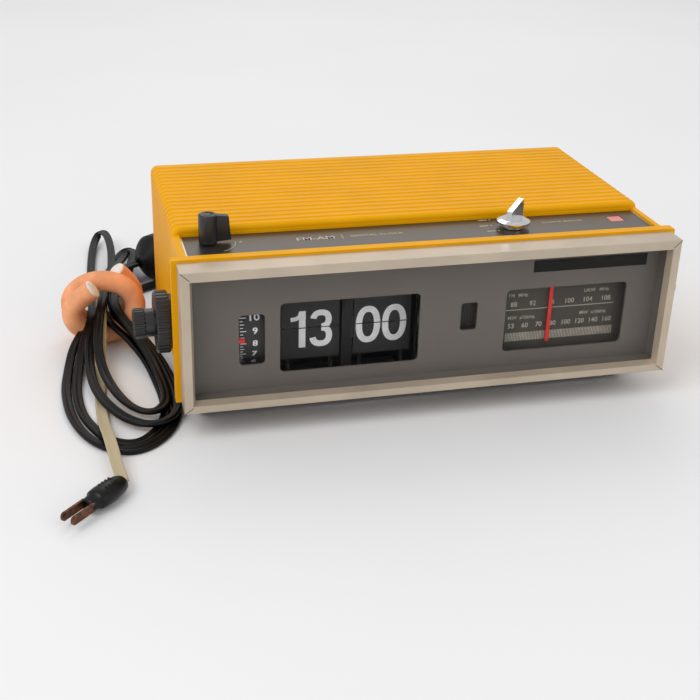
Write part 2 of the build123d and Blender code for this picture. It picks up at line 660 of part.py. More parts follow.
def leaf_wheel(left, leaves):
    """Leaf carrier: two rims, a hub and the folded leaf roots between them."""
    right = left + LEAF_WIDTH
    for x in (left, right - 1.2):
        bar((x, AXLE_Y, AXLE_Z), 1.2, WHEEL_FLANGE)
    bar((left, AXLE_Y, AXLE_Z), LEAF_WIDTH, 5)
    for number in range(leaves):
        with BuildSketch(spoke_plane(left + 0.6, AXLE_Y, 360.0 * number / leaves)) as spoke:
            with Locations((9.5, 0)):
                Rectangle(10.4, 0.6)
        extrude(spoke.sketch, amount=LEAF_WIDTH - 1.2)


def gear_solid(x, axis_y, teeth, width, phase):
    """A spur gear with plain tapered teeth, its axis along X."""
    pitch = GEAR_MODULE * teeth / 2
    root = pitch - 0.62
    tip = pitch + 0.42
    bar((x, axis_y, AXLE_Z), width, root)
    for number in range(teeth):
        turn = phase + 360.0 * number / teeth
        with BuildSketch(spoke_plane(x, axis_y, turn)) as tooth:
            with BuildLine():
                Polyline((root - 0.3, -0.36), (tip, -0.17), (tip, 0.17), (root - 0.3, 0.36), close=True)
            make_face()
        extrude(tooth.sketch, amount=width)


MINUTE_RIGHT = MINUTE_LEFT + LEAF_WIDTH
GEAR_WIDTH = 1.6
with BuildPart() as hour_wheel:
    leaf_wheel(HOUR_LEFT, 24)
    bar((HOUR_LEFT - 1, AXLE_Y, AXLE_Z), LEAF_WIDTH + 2, AXLE_RADIUS + RUN_GAP, mode=Mode.SUBTRACT)
save(hour_wheel, "hour_wheel")

with BuildPart() as minute_wheel:
    leaf_wheel(MINUTE_LEFT, 20)
    gear_solid(MINUTE_RIGHT, AXLE_Y, GEAR_TEETH, GEAR_WIDTH, 0)
    bar((MINUTE_LEFT - 1, AXLE_Y, AXLE_Z), LEAF_WIDTH + 5, AXLE_RADIUS + RUN_GAP, mode=Mode.SUBTRACT)
save(minute_wheel, "minute_wheel")

PINION_SHAFT = 1.1
with BuildPart() as motor_pinion:
    gear_solid(MINUTE_RIGHT, PINION_Y, PINION_TEETH, GEAR_WIDTH, 0.5 * 360 / PINION_TEETH)
    bar((MINUTE_RIGHT, PINION_Y, AXLE_Z), 7, PINION_SHAFT)
save(motor_pinion, "motor_pinion")

MOTOR_X = FRAME_RIGHT + PLATE_GAUGE
with BuildPart() as clock_motor:
    bar((MOTOR_X, PINION_Y, AXLE_Z), 14, 21)
    fillet(clock_motor.edges().filter_by(GeomType.CIRCLE), 1.5)
    bar((MOTOR_X, PINION_Y, AXLE_Z), 3, PINION_SHAFT + RUN_GAP, mode=Mode.SUBTRACT)
    block((MOTOR_X + 3, PINION_Y + 19, AXLE_Z - 7), (MOTOR_X + 11, PINION_Y + 25, AXLE_Z + 7))
save(clock_motor, "clock_motor")


def leaf(left, upper):
    """One printed leaf with its two small pins, standing above or hanging below the hinge line."""
    if upper:
        hinge_z = HINGE_Z + LEAF_GAP
        low, high = hinge_z, hinge_z + LEAF_HEIGHT
    else:
        hinge_z = HINGE_Z - LEAF_GAP
        low, high = hinge_z - LEAF_HEIGHT, hinge_z
    with BuildSketch(Plane.XZ.offset(-LEAF_Y), mode=Mode.PRIVATE) as card:
        with Locations((left + LEAF_WIDTH / 2, (low + high) / 2)):
            RectangleRounded(LEAF_WIDTH - 0.6, LEAF_HEIGHT, 0.8)
    extrude(card.sketch, amount=LEAF_THICK, dir=(0, 1, 0))
    for x in (left + 0.3, left + LEAF_WIDTH - 1.9):
        bar((x, LEAF_Y + LEAF_THICK / 2, hinge_z), 1.6, 0.28)


with BuildPart() as hour_upper_leaf:
    leaf(HOUR_LEFT, True)
save(hour_upper_leaf, "hour_upper_leaf")

with BuildPart() as minute_upper_leaf:
    leaf(MINUTE_LEFT, True)
save(minute_upper_leaf, "minute_upper_leaf")

with BuildPart() as lower_leaves:
    for left in (HOUR_LEFT, MINUTE_LEFT):
        leaf(left, False)
save(lower_leaves, "lower_leaves")

# ---------------------------------------------------------------- tuning dial
DIAL_FACE = FRONT + 21.8
NEEDLE_Y = FRONT + 19.4
RAIL_Y = FRONT + 26.5
RAIL_Z = 80.5
with BuildPart() as dial_scale:
    block((43.5, DIAL_FACE, 28.5), (127.0, DIAL_FACE + 1.2, 76.5))
    for x in (43.5, 124.0):
        block((x, DIAL_FACE, DECK), (x + 3, DIAL_FACE + 3, 84))
save(dial_scale, "dial_scale")

GUIDE_RADIUS = 4.0
with BuildPart() as needle_rail:
    bar((46.6, RAIL_Y, RAIL_Z), 77.3, 1.2)
    for x in (43.5, 124.0):
        block((x, DIAL_FACE + 3, RAIL_Z - 3), (x + 3, RAIL_Y + 3, RAIL_Z + 3))
    # The two pulleys that the dial string runs over.
    for x in (33.0, 134.0):
        bar((x, RAIL_Y + 7, RAIL_Z), 4, GUIDE_RADIUS, axis=(0, 1, 0))
        bar((x, RAIL_Y + 6, RAIL_Z), 1, GUIDE_RADIUS + 1, axis=(0, 1, 0))
        bar((x, RAIL_Y + 11, RAIL_Z), 1, GUIDE_RADIUS + 1, axis=(0, 1, 0))
        block((x - 2, RAIL_Y + 12, RAIL_Z - 6), (x + 2, RAIL_Y + 14, POCKET_FLOOR - 2.0))
save(needle_rail, "needle_rail")

with BuildPart() as dial_needle:
    block((NEEDLE_X - 1.1, NEEDLE_Y, 35.5), (NEEDLE_X + 1.1, NEEDLE_Y + 0.8, 80))
    fillet(dial_needle.edges().filter_by(Axis.Y).group_by(Axis.Z)[0], 0.6)
    # Its carriage, which rides on the rail.
    block((NEEDLE_X - 4, NEEDLE_Y + 0.8, 77.4), (NEEDLE_X + 4, RAIL_Y + 3, RAIL_Z + 3))
    bar((NEEDLE_X - 5, RAIL_Y, RAIL_Z), 10, 1.2 + RUN_GAP, mode=Mode.SUBTRACT)
save(dial_needle, "dial_needle")

LAMP_Y = DIAL_FACE + 11.5
with BuildPart() as lamps:
    for x in (52.0, 117.0):
        bar((x, LAMP_Y, 88), 9, 2.8, axis=(0, 0, -1))
        bar((x, LAMP_Y, 79), 6, 2.2, axis=(0, 0, -1))
    bar((PILOT_X, MASK_BACK + 5, PILOT_Z), 5, 3.0, axis=(0, 1, 0))
    bar((PILOT_X, MASK_BACK + 10, PILOT_Z), 8, 2.6, axis=(0, 1, 0))
save(lamps, "lamps")

GANG_Y = FRONT + 92.0
GANG_Z = 47.0
TUNING_DRUM = 21.6
with BuildPart() as tuning_gang:
    block((84, GANG_Y - 16, GANG_Z - 14), (109, GANG_Y + 16, GANG_Z + 16))
    block((86, GANG_Y - 14, DECK), (107, GANG_Y + 14, GANG_Z - 14))
    for number in range(5):
        x = 87.0 + number * 4.4
        block((x, GANG_Y - 18, GANG_Z + 2), (x + 1.2, GANG_Y + 18, GANG_Z + 20))
    bar((100, GANG_Y, GANG_Z), 10, 3 + RUN_GAP, mode=Mode.SUBTRACT)
save(tuning_gang, "tuning_gang")

with BuildPart() as tuning_drum:
    bar((110.5, GANG_Y, GANG_Z), 6.5, TUNING_DRUM)
    bar((110, GANG_Y, GANG_Z), 8, TUNING_DRUM - 4, mode=Mode.SUBTRACT)
    bar((110.5, GANG_Y, GANG_Z), 1.6, TUNING_DRUM - 3)
    bar((110.5, GANG_Y, GANG_Z), 6.5, 6)
    ring = Plane(origin=(113.75, GANG_Y, GANG_Z), z_dir=(1, 0, 0))
    with Locations(ring):
        Torus(TUNING_DRUM + 0.3, 1.0, mode=Mode.SUBTRACT)
    bar((101, GANG_Y, GANG_Z), 16, 3)
save(tuning_drum, "tuning_drum")

# ---------------------------------------------------------------- radio works
TRANSFORMER_X = -98.0
TRANSFORMER_Y = FRONT + 130.0
with BuildPart() as transformer_core:
    block(
        (TRANSFORMER_X - 21, TRANSFORMER_Y - 9, DECK + 1.2), (TRANSFORMER_X + 21, TRANSFORMER_Y + 9, DECK + 37)
    )
    for side in (-1, 1):
        block(
            (TRANSFORMER_X + side * 10 - 4, TRANSFORMER_Y - 10, DECK + 8),
            (TRANSFORMER_X + side * 10 + 4, TRANSFORMER_Y + 10, DECK + 30),
            mode=Mode.SUBTRACT,
        )
    block(
        (TRANSFORMER_X - 29, TRANSFORMER_Y - 9, DECK), (TRANSFORMER_X + 29, TRANSFORMER_Y + 9, DECK + 1.2)
    )
save(transformer_core, "transformer_core")

with BuildPart() as transformer_winding:
    block(
        (TRANSFORMER_X - 13.6, TRANSFORMER_Y - 17, DECK + 8.4),
        (TRANSFORMER_X + 13.6, TRANSFORMER_Y + 17, DECK + 29.6),
    )
    fillet(transformer_winding.edges().filter_by(Axis.Z), 4)
    block(
        (TRANSFORMER_X - 6.2, TRANSFORMER_Y - 9.2, DECK + 8),
        (TRANSFORMER_X + 6.2, TRANSFORMER_Y + 9.2, DECK + 30),
        mode=Mode.SUBTRACT,
    )
    for side in (-1, 1):
        block(
            (TRANSFORMER_X + side * 20 - 6.2, TRANSFORMER_Y - 9.2, DECK + 8),
            (TRANSFORMER_X + side * 20 + 6.2, TRANSFORMER_Y + 9.2, DECK + 30),
            mode=Mode.SUBTRACT,
        )
save(transformer_winding, "transformer_winding")

with BuildPart() as speaker_basket:
    bar((SPEAKER_X, SPEAKER_Y, DECK), 2, SPEAKER_RADIUS, axis=(0, 0, 1))
    cone((SPEAKER_X, SPEAKER_Y, DECK + 2), 18, SPEAKER_RADIUS - 2, 17)
    cone((SPEAKER_X, SPEAKER_Y, DECK - 0.01), 18.5, SPEAKER_RADIUS - 3.2, 15.5, mode=Mode.SUBTRACT)
    bar((SPEAKER_X, SPEAKER_Y, DECK + 10), 12, 9, axis=(0, 0, 1), mode=Mode.SUBTRACT)
    # The magnet and its pole piece.
    bar((SPEAKER_X, SPEAKER_Y, DECK + 20), 12, 17, axis=(0, 0, 1))
    bar((SPEAKER_X, SPEAKER_Y, DECK + 15), 6, 7, axis=(0, 0, 1))
save(speaker_basket, "speaker_basket")

with BuildPart() as speaker_cone:
    cone((SPEAKER_X, SPEAKER_Y, DECK + 1.0), 13, 33, 9)
    cone((SPEAKER_X, SPEAKER_Y, DECK + 0.4), 13, 32.6, 8.4, mode=Mode.SUBTRACT)
    with Locations((SPEAKER_X, SPEAKER_Y, DECK + 12.4)):
        Cylinder(9.2, 1.2, align=(Align.CENTER, Align.CENTER, Align.MIN))
save(speaker_cone, "speaker_cone")

BOARD_LEFT = -74.0
BOARD_RIGHT = 130.0
BOARD_FRONT = FRONT + 78.0
BOARD_BACK = FRONT + 171.0
with BuildPart() as main_board:
    block((BOARD_LEFT, BOARD_FRONT, BOARD_Z), (BOARD_RIGHT, BOARD_BACK, BOARD_Z + 1.6))
save(main_board, "main_board")

BOARD_TOP = BOARD_Z + 1.6
CAPACITORS = [(64.0, FRONT + 100.0, 7.0, 20.0), (84.0, FRONT + 108.0, 5.0, 14.0), (44.0, FRONT + 126.0, 4.0, 12.0)]
CANS = [(-50.0 + number * 24, FRONT + 96) for number in range(4)]
CANS += [(-38.0 + number * 30, FRONT + 118) for number in range(2)]
ROD_Y = FRONT + 158.0
ROD_Z = BOARD_TOP + 14.0
ROD_RADIUS = 5.0
with BuildPart() as board_parts:
    # Screened coils, electrolytic capacitors, output transistors and the clips of the ferrite rod.
    for x, y in CANS:
        block((x, y, BOARD_TOP), (x + 9, y + 9, BOARD_TOP + 13))
    for x, y, radius, height in CAPACITORS:
        bar((x, y, BOARD_TOP), height, radius, axis=(0, 0, 1))
    for x in (8.0, 26.0):
        block((x, FRONT + 140, BOARD_TOP), (x + 10, FRONT + 143, BOARD_TOP + 16))
        block((x - 1, FRONT + 143, BOARD_TOP), (x + 11, FRONT + 144.5, BOARD_TOP + 20))
    for x in (-58.0, 70.0):
        block((x, ROD_Y - 7, BOARD_TOP), (x + 5, ROD_Y + 7, ROD_Z + 7))
        bar((x - 1, ROD_Y, ROD_Z), 7, ROD_RADIUS, mode=Mode.SUBTRACT)
save(board_parts, "board_parts")

with BuildPart() as ferrite_aerial:
    bar((-60, ROD_Y, ROD_Z), 140, ROD_RADIUS)
    bar((-50, ROD_Y, ROD_Z), 26, 6.6)
    bar((40, ROD_Y, ROD_Z), 16, 6.6)
save(ferrite_aerial, "ferrite_aerial")

# ---------------------------------------------------------------- mains cord
# Routes are in the order that the cord runs, from the set outwards.
MAINS_ROUTE = [
    (GLAND_X, GLAND_END, GLAND_Z),
    (-104.0, 114.0, 30.0),
    (-107.5, 127.5, 25.3),
    (-115.5, 137.5, 17.0),
    (-126.5, 142.0, 9.5),
    (-139.0, 141.2, 4.4),
    (-151.0, 136.5, 2.7),
    (-161.5, 128.0, 3.4),
    (-170.5, 115.5, 7.4),
    (-176.5, 102.0, 12.6),
]
cord_tube(MAINS_ROUTE, CORD_RADIUS, "mains_cord")

PLUG_TURN = 36.87
PLUG_AXIS = (cos(radians(PLUG_TURN)), sin(radians(PLUG_TURN)), 0)
PLUG_RADIUS = 17.0
PLUG_NECK = (-153.0, 150.0, PLUG_RADIUS + 0.3)
PLUG_ROUTE = [
    (-172.0, 101.0, 22.0),
    (-172.8, 115.0, 20.6),
    (-170.6, 129.0, 18.9),
    (-164.2, 141.6, PLUG_NECK[2]),
    PLUG_NECK,
]
cord_tube(PLUG_ROUTE, CORD_RADIUS, "plug_cord")

PIN_PITCH = 19.0
plug_plane = Plane(origin=PLUG_NECK, x_dir=PLUG_AXIS, z_dir=(PLUG_AXIS[1], -PLUG_AXIS[0], 0))
with BuildPart() as mains_plug:
    with BuildSketch(plug_plane) as half_section:
        with BuildLine():
            Polyline(
                (0, 0), (0, 3.6), (2.5, 5.2), (10, 15), (13, PLUG_RADIUS), (40, PLUG_RADIUS),
                (42.5, PLUG_RADIUS - 1.5), (42.5, 0), close=True,
            )
        make_face()
    revolve(half_section.sketch, axis=Axis(PLUG_NECK, PLUG_AXIS))
save(mains_plug, "mains_plug")

with BuildPart() as plug_pins:
    for side in (-PIN_PITCH / 2, PIN_PITCH / 2):
        with BuildSketch(plug_plane.offset(side)) as half_section:
            with BuildLine():
                Polyline((42.5, 0), (42.5, 2.4), (59.5, 2.4), (61.5, 1.2), (61.5, 0), close=True)
            make_face()
        root = plug_plane.offset(side).origin
        revolve(half_section.sketch, axis=Axis(root, PLUG_AXIS))
save(plug_pins, "plug_pins")

# The bundled length: flat lobes before and behind, lifted in the middle by its tie.
FRONT_LOBE = [
    (-199, 62), (-212, 35), (-219, -8), (-217, -52), (-206, -82), (-191, -99), (-176, -101),
    (-158, -84), (-146, -60), (-145.5, -38), (-149, 4), (-158, 45), (-166, 66),
]
REAR_LOBE = [
    (-197, 80), (-194, 150), (-191, 205), (-184, 244), (-172, 247), (-160, 216), (-152, 205),
    (-153, 175), (-159, 140), (-166, 80),
]
LOBE_LOW = 0.3
with BuildPart() as mains_hank:
    for lobe, height in ((FRONT_LOBE, 12.0), (REAR_LOBE, 16.0)):
        with BuildSketch(Plane.XY.offset(LOBE_LOW)) as outline:
            with BuildLine():
                Polyline(*lobe, close=True)
            make_face()
            fillet(outline.vertices(), 5)
        extrude(outline.sketch, amount=height)
    with BuildSketch(Plane.YZ.offset(-198)) as hump:
        with BuildLine():
            Polyline(
                (8, LOBE_LOW + 1), (8, 11), (38, 30), (88, 31), (128, 15), (128, LOBE_LOW + 1),
                (104, LOBE_LOW + 2), (84, 14), (42, 14), (26, LOBE_LOW + 2), close=True,
            )
        make_face()
    extrude(hump.sketch, amount=30)
    block((-230, 41, -1), (-140, 85, 14), mode=Mode.SUBTRACT)
save(mains_hank, "mains_hank")

TIE_RADIUS = 6.7
TIE_X = -184.0
TIE_Z = 24.3
TIE_WIDE = 21.5
TIE_TALL = 17.5
TIE_ROUTE = [(-191.0, 46.0, 42.0)]
for turn in range(150, 751, 30):
    TIE_ROUTE.append(
        (
            TIE_X + TIE_WIDE * cos(radians(turn)),
            48.0 + 26.0 * (turn - 150) / 570,
            TIE_Z + TIE_TALL * sin(radians(turn)),
        )
    )
TIE_ROUTE.append((-173.5, 73.0, 42.5))
cord_tube(TIE_ROUTE, TIE_RADIUS, "cord_tie")

# ---------------------------------------------------------------- aerial lead
FM_ROUTE = [
    (AERIAL_X - 8, COVER_BACK + 1, AERIAL_Z),
    (-78.0, 101.0, 28.0),
    (-81.0, 114.0, 24.0),
    (-88.0, 125.5, 17.5),
    (-97.5, 135.0, 10.5),
    (-109.0, 142.0, 5.0),
    (-122.0, 145.8, 2.2),
    (-136.0, 146.3, 1.7),
    (-149.5, 143.4, 1.8),
    (-161.5, 136.5, 2.6),
    (-171.5, 125.5, 5.4),
    (-179.0, 111.5, 10.4),
    (-183.3, 96.5, 16.6),
    (-185.0, 80.5, 21.5),
    (-185.6, 63.5, 24.0),
    (-186.4, 46.5, 22.0),
    (-187.8, 29.5, 16.0),
    (-189.6, 13.0, 8.8),
    (-191.4, -3.0, 3.4),
    (-192.6, -20.0, 1.8),
    (-193.0, -38.0, 1.7),
    (-192.9, -56.0, 2.0),
    (-192.4, -72.0, 5.6),
    (-191.4, -87.0, 9.6),
    (-190.2, -103.0, 9.4),
    (-188.8, -118.0, 6.6),
    (-187.0, -133.0, 6.2),
]
cord_tube(FM_ROUTE, RIBBON_RADIUS, "fm_lead")

FM_PLUG_TURN = 225.6
FM_PLUG_AXIS = (cos(radians(FM_PLUG_TURN)), sin(radians(FM_PLUG_TURN)), 0)
FM_PLUG_SIDE = (-FM_PLUG_AXIS[1], FM_PLUG_AXIS[0], 0)
FM_PLUG_REAR = FM_ROUTE[-1]


def fm_plug_section(distance, sideways=0.0):
    """A plane across the aerial plug, at a distance from its lead and an offset across its prongs."""
    middle = [
        FM_PLUG_REAR[axis] + FM_PLUG_AXIS[axis] * distance + FM_PLUG_SIDE[axis] * sideways for axis in range(3)
    ]
    return Plane(origin=tuple(middle), x_dir=FM_PLUG_SIDE, z_dir=FM_PLUG_AXIS)


with BuildPart() as fm_plug:
    for distance, width, height, length in ((0, 10, 9, 6.5), (6, 15, 12, 22)):
        with BuildSketch(fm_plug_section(distance)) as section:
            RectangleRounded(width, height, 3)
        extrude(section.sketch, amount=length)
    # Its two flat prongs.
    for side in (-4.2, 4.2):
        with BuildSketch(fm_plug_section(27, side)) as section:
            Rectangle(1.4, 5.0)
        extrude(section.sketch, amount=17)
save(fm_plug, "fm_plug")
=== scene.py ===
"""A mains table clock radio with a split-leaf clock: finishes, printing, cords, studio and camera."""

import logging
import math
from dataclasses import dataclass
from enum import Enum

import bmesh
import bpy
from mathutils import Matrix, Vector


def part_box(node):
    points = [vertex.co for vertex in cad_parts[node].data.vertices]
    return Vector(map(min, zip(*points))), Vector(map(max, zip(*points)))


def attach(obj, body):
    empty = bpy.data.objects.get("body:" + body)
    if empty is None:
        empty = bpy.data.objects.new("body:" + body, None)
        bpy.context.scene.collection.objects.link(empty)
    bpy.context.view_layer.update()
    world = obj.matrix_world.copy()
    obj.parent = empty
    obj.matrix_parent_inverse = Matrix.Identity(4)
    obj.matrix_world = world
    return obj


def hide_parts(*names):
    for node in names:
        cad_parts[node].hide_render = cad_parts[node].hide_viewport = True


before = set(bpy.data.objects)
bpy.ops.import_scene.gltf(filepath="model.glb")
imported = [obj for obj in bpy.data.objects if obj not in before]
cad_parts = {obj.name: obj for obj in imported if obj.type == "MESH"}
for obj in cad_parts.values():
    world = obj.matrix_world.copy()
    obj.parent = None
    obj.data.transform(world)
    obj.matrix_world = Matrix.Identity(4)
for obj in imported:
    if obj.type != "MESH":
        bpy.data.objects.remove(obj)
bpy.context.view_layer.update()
LOG = logging.getLogger("clock_radio")

MM = 0.001
RIGHT, BACK, UP = Vector((1, 0, 0)), Vector((0, 1, 0)), Vector((0, 0, 1))
Colour = tuple[float, float, float]
Place = tuple[float, float, float]
Point = tuple[float, float]
Node = bpy.types.Node
Socket = bpy.types.NodeSocket

BUMP_STRENGTH = 0.6
COAT_ROUGHNESS = 0.12
NOISE_DETAIL = 3
CLOUD_SPAN = (0.35, 0.65)
BAND_WAVER = 0.3
GLASS_IOR = 1.45
LEAST_GLOSS_VALUE = 0.02
DOUBLED = 0.01 * MM
CLOSEST_POINTS = 0.2 * MM


def mm(x: float, y: float, z: float) -> Vector:
    """A point given in millimetres, as a vector in metres."""
    return Vector((x, y, z)) * MM


def linear(colour: Colour) -> tuple[float, float, float, float]:
    """Screen colour, each channel 0 to 1, as the linear colour that a shader takes."""
    return (*(c / 12.92 if c <= 0.04045 else ((c + 0.055) / 1.055) ** 2.4 for c in colour), 1.0)


# ---------- finishes


class Grain(Enum):
    """Which way a finish's fine pattern is drawn out, as its scale along each axis."""

    EVEN = (1.0, 1.0, 1.0)
    ALONG_X = (0.02, 1.0, 1.0)
    ALONG_Y = (1.0, 0.02, 1.0)


class Across(Enum):
    """The axis that a finish's bands run across."""

    X = "X"
    Y = "Y"


@dataclass(frozen=True)
class Wiring:
    """A material's node tree, with its coordinate node and its shader."""

    tree: bpy.types.NodeTree
    place: Node
    shader: Node

    def add(self, kind: str, values: dict[str, float] | None = None) -> Node:
        """Adds a node.

        Args:
            kind: the node's type.
            values: constants for its sockets, by socket name.

        Returns:
            The node.
        """
        node = self.tree.nodes.new(kind)
        for socket, value in (values or {}).items():
            node.inputs[socket].default_value = value
        return node

    def join(self, output: Socket, node: Node, socket: str) -> None:
        """Joins an output to a node's named input."""
        self.tree.links.new(output, node.inputs[socket])

    def noise(self, grain: Grain, size: float) -> Socket:
        """Adds a noise pattern.

        Args:
            grain: which way it is drawn out.
            size: feature size in millimetres.

        Returns:
            The noise's output, 0 to 1.
        """
        turn = self.add("ShaderNodeMapping", {"Scale": grain.value})
        noise = self.add("ShaderNodeTexNoise", {"Scale": 1 / (size * MM), "Detail": NOISE_DETAIL})
        self.join(self.place.outputs["Object"], turn, "Vector")
        self.join(turn.outputs["Vector"], noise, "Vector")
        return noise.outputs["Fac"]

    def shade(self, pattern: Socket, low: Colour, high: Colour, span: Point = (0.0, 1.0)) -> None:
        """Colours the shader by a pattern.

        Args:
            pattern: the pattern, 0 to 1.
            low: the screen colour where it is low.
            high: the screen colour where it is high.
            span: the pattern's values between which the colour changes.
        """
        ramp = self.add("ShaderNodeValToRGB")
        for element, position, colour in zip(ramp.color_ramp.elements, span, (low, high)):
            element.position = position
            element.color = linear(colour)
        self.join(pattern, ramp, "Fac")
        self.join(ramp.outputs["Color"], self.shader, "Base Color")

    def vary(self, pattern: Socket, low: float, high: float, socket: str) -> None:
        """Varies one of the shader's inputs by a pattern.

        Args:
            pattern: the pattern, 0 to 1.
            low: the input where the pattern is 0.
            high: the input where it is 1.
            socket: the input's name.
        """
        span = self.add("ShaderNodeMapRange", {"To Min": low, "To Max": high})
        self.join(pattern, span, "Value")
        self.join(span.outputs["Result"], self.shader, socket)


@dataclass(frozen=True)
class Finish:
    """A moulded, painted or metal surface with cloudy colour, uneven gloss and fine relief.

    Lengths are in millimetres. tone is how far the cloudy variation moves the colour.
    """

    name: str
    colour: Colour
    tone: float = 0.10
    metallic: float = 0.0
    roughness: float = 0.4
    gloss_span: float = 0.08
    grain: Grain = Grain.EVEN
    grain_size: float = 0.35
    relief: float = 0.02
    coat: float = 0.0
    cloud_size: float = 30.0
    shine: float = 0.5

    def material(self) -> bpy.types.Material:
        """The finish as a node material, made once and shared after that.

        Returns:
            The material.
        """
        known = bpy.data.materials.get(self.name)
        if known:
            return known
        made = bpy.data.materials.new(self.name)
        made.use_nodes = True
        tree = made.node_tree
        wiring = Wiring(tree, tree.nodes.new("ShaderNodeTexCoord"), tree.nodes["Principled BSDF"])
        fine = wiring.noise(self.grain, self.grain_size)
        cloud = wiring.noise(Grain.EVEN, self.cloud_size)
        self._colour(wiring, cloud)
        glossy = max(LEAST_GLOSS_VALUE, self.roughness - self.gloss_span)
        wiring.vary(cloud, glossy, min(1.0, self.roughness + self.gloss_span), "Roughness")
        bump = wiring.add("ShaderNodeBump", {"Strength": BUMP_STRENGTH, "Distance": self.relief * MM})
        wiring.join(self._height(wiring, fine), bump, "Height")
        wiring.join(bump.outputs["Normal"], wiring.shader, "Normal")
        for socket, value in (
            ("Metallic", self.metallic), ("Specular IOR Level", self.shine),
            ("Coat Weight", self.coat), ("Coat Roughness", COAT_ROUGHNESS),
        ):
            wiring.shader.inputs[socket].default_value = value
        self._extras(wiring, cloud)
        return made

    def _colour(self, wiring: Wiring, cloud: Socket) -> None:
        """Colours the shader between a darker and a lighter shade, by the cloudy pattern."""
        low = tuple(c * (1 - self.tone) for c in self.colour)
        high = tuple(min(1.0, c * (1 + self.tone / 2)) for c in self.colour)
        wiring.shade(cloud, low, high, CLOUD_SPAN)

    def _height(self, wiring: Wiring, fine: Socket) -> Socket:
        """The relief's height, here the fine grain alone."""
        return fine

    def _extras(self, wiring: Wiring, cloud: Socket) -> None:
        """What else a kind of finish sets, here nothing."""


@dataclass(frozen=True)
class Banded(Finish):
    """A finish with parallel bands or ribs across one axis, pitch in millimetres."""

    across: Across = Across.X
    pitch: float = 1.0
    dark: float = 0.35

    def _wave(self, wiring: Wiring) -> Socket:
        """Adds the bands and gives their output.

        Args:
            wiring: the material's nodes.

        Returns:
            The bands, 0 to 1.
        """
        scale = math.pi / (10 * self.pitch * MM)
        wave = wiring.add("ShaderNodeTexWave", {"Scale": scale, "Distortion": BAND_WAVER})
        wave.wave_type = "BANDS"
        wave.bands_direction = self.across.value
        wiring.join(wiring.place.outputs["Object"], wave, "Vector")
        return wave.outputs["Fac"]

    def _colour(self, wiring: Wiring, cloud: Socket) -> None:
        """Colours the shader in bands of a dark and a light shade."""
        wiring.shade(self._wave(wiring), tuple(c * (1 - self.dark) for c in self.colour), self.colour)

    def _height(self, wiring: Wiring, fine: Socket) -> Socket:
        """The bands stand up as ribs."""
        return self._wave(wiring)


@dataclass(frozen=True)
class Cellular(Finish):
    """A finish of small rounded cells, such as foam or a pebbled lens."""

    cell: float = 1.2

    def _height(self, wiring: Wiring, fine: Socket) -> Socket:
        """Cells in place of the fine grain.

        Args:
            wiring: the material's nodes.
            fine: the fine grain, which isn't used.

        Returns:
            The height of the cells.
        """
        cells = wiring.add("ShaderNodeTexVoronoi", {"Scale": 1 / (self.cell * MM)})
        wiring.join(wiring.place.outputs["Object"], cells, "Vector")
        return cells.outputs["Distance"]


@dataclass(frozen=True)
class Glazing(Finish):
    """See-through glazing with faint smears that take the light."""

    clear: float = 0.10
    smear: float = 0.06

    def _extras(self, wiring: Wiring, cloud: Socket) -> None:
        """Lets most light through, and a little less where it is smeared."""
        wiring.vary(cloud, self.clear, self.clear + self.smear, "Alpha")
        wiring.shader.inputs["IOR"].default_value = GLASS_IOR


CASE_YELLOW = Finish(
    "case_yellow", (0.915, 0.65, 0.0), 0.02, roughness=0.42, grain_size=0.5, shine=0.10,
)
CHAMPAGNE = Finish(
    "champagne_silver", (0.76, 0.70, 0.62), 0.04, 0.45, 0.38, 0.05, Grain.ALONG_X, 0.25, 0.01,
)
LENS = Glazing(
    "smoked_lens", (0.10, 0.09, 0.08), 0.2, roughness=0.06, gloss_span=0.03, relief=0.002,
    clear=0.03, smear=0.04,
)
BULB = Glazing(
    "bulb_glass", (0.95, 0.93, 0.85), 0.1, roughness=0.08, relief=0.002, clear=0.3, smear=0.2,
)
MASK = Finish(
    "mask_brown", (0.105, 0.095, 0.075), 0.10, shine=0.12, roughness=0.5, grain_size=0.3,
    relief=0.03,
)
NAMEPLATE = Finish(
    "nameplate_dark", (0.085, 0.075, 0.065), 0.1, roughness=0.4, relief=0.005, shine=0.2,
)
RIBBED = Banded(
    "ribbed_recess", (0.23, 0.21, 0.19), roughness=0.5, relief=0.3, pitch=1.6, dark=0.55,
)
BASE = Finish("base_black", (0.09, 0.088, 0.085), 0.2, roughness=0.5, grain_size=0.6, relief=0.06)
COVER = Finish("cover_black", (0.13, 0.125, 0.12), 0.2, roughness=0.6, grain_size=0.8, relief=0.10)
RUBBER = Finish(
    "black_rubber", (0.07, 0.07, 0.07), 0.25, roughness=0.75, grain_size=0.5, relief=0.04,
)
CLOCK_BLACK = Finish(
    "clock_frame_black", (0.07, 0.068, 0.065), 0.2, roughness=0.6, grain_size=0.5, relief=0.03,
)
PLATE = Finish(
    "plate_dark", (0.24, 0.235, 0.235), 0.08, 0.35, 0.2, 0.05, Grain.ALONG_X, 0.2, 0.006, coat=0.25,
)
# Bright metal for the painted edge highlights along the top plate's ends.
EDGE_HIGHLIGHT = Finish("painted_edge_highlight", (0.86, 0.86, 0.84), 0.06, 1.0, 0.3, 0.08, Grain.ALONG_Y, 0.2, 0.01)
ZINC = Finish(
    "zinc_plate", (0.72, 0.71, 0.68), 0.12, 1.0, 0.38, 0.12, Grain.EVEN, 0.6, 0.01, cloud_size=6,
)
STEEL = Finish("ground_steel", (0.70, 0.70, 0.69), 0.08, 1.0, 0.28, 0.08, Grain.ALONG_X, 0.15, 0.01)
WIRE = Finish("rail_wire", (0.74, 0.74, 0.73), 0.08, 1.0, 0.22, 0.08, Grain.ALONG_X, 0.15, 0.005)
CHROME = Finish("chrome", (0.90, 0.90, 0.91), 0.03, 1.0, 0.07, 0.04, relief=0.002, cloud_size=8)
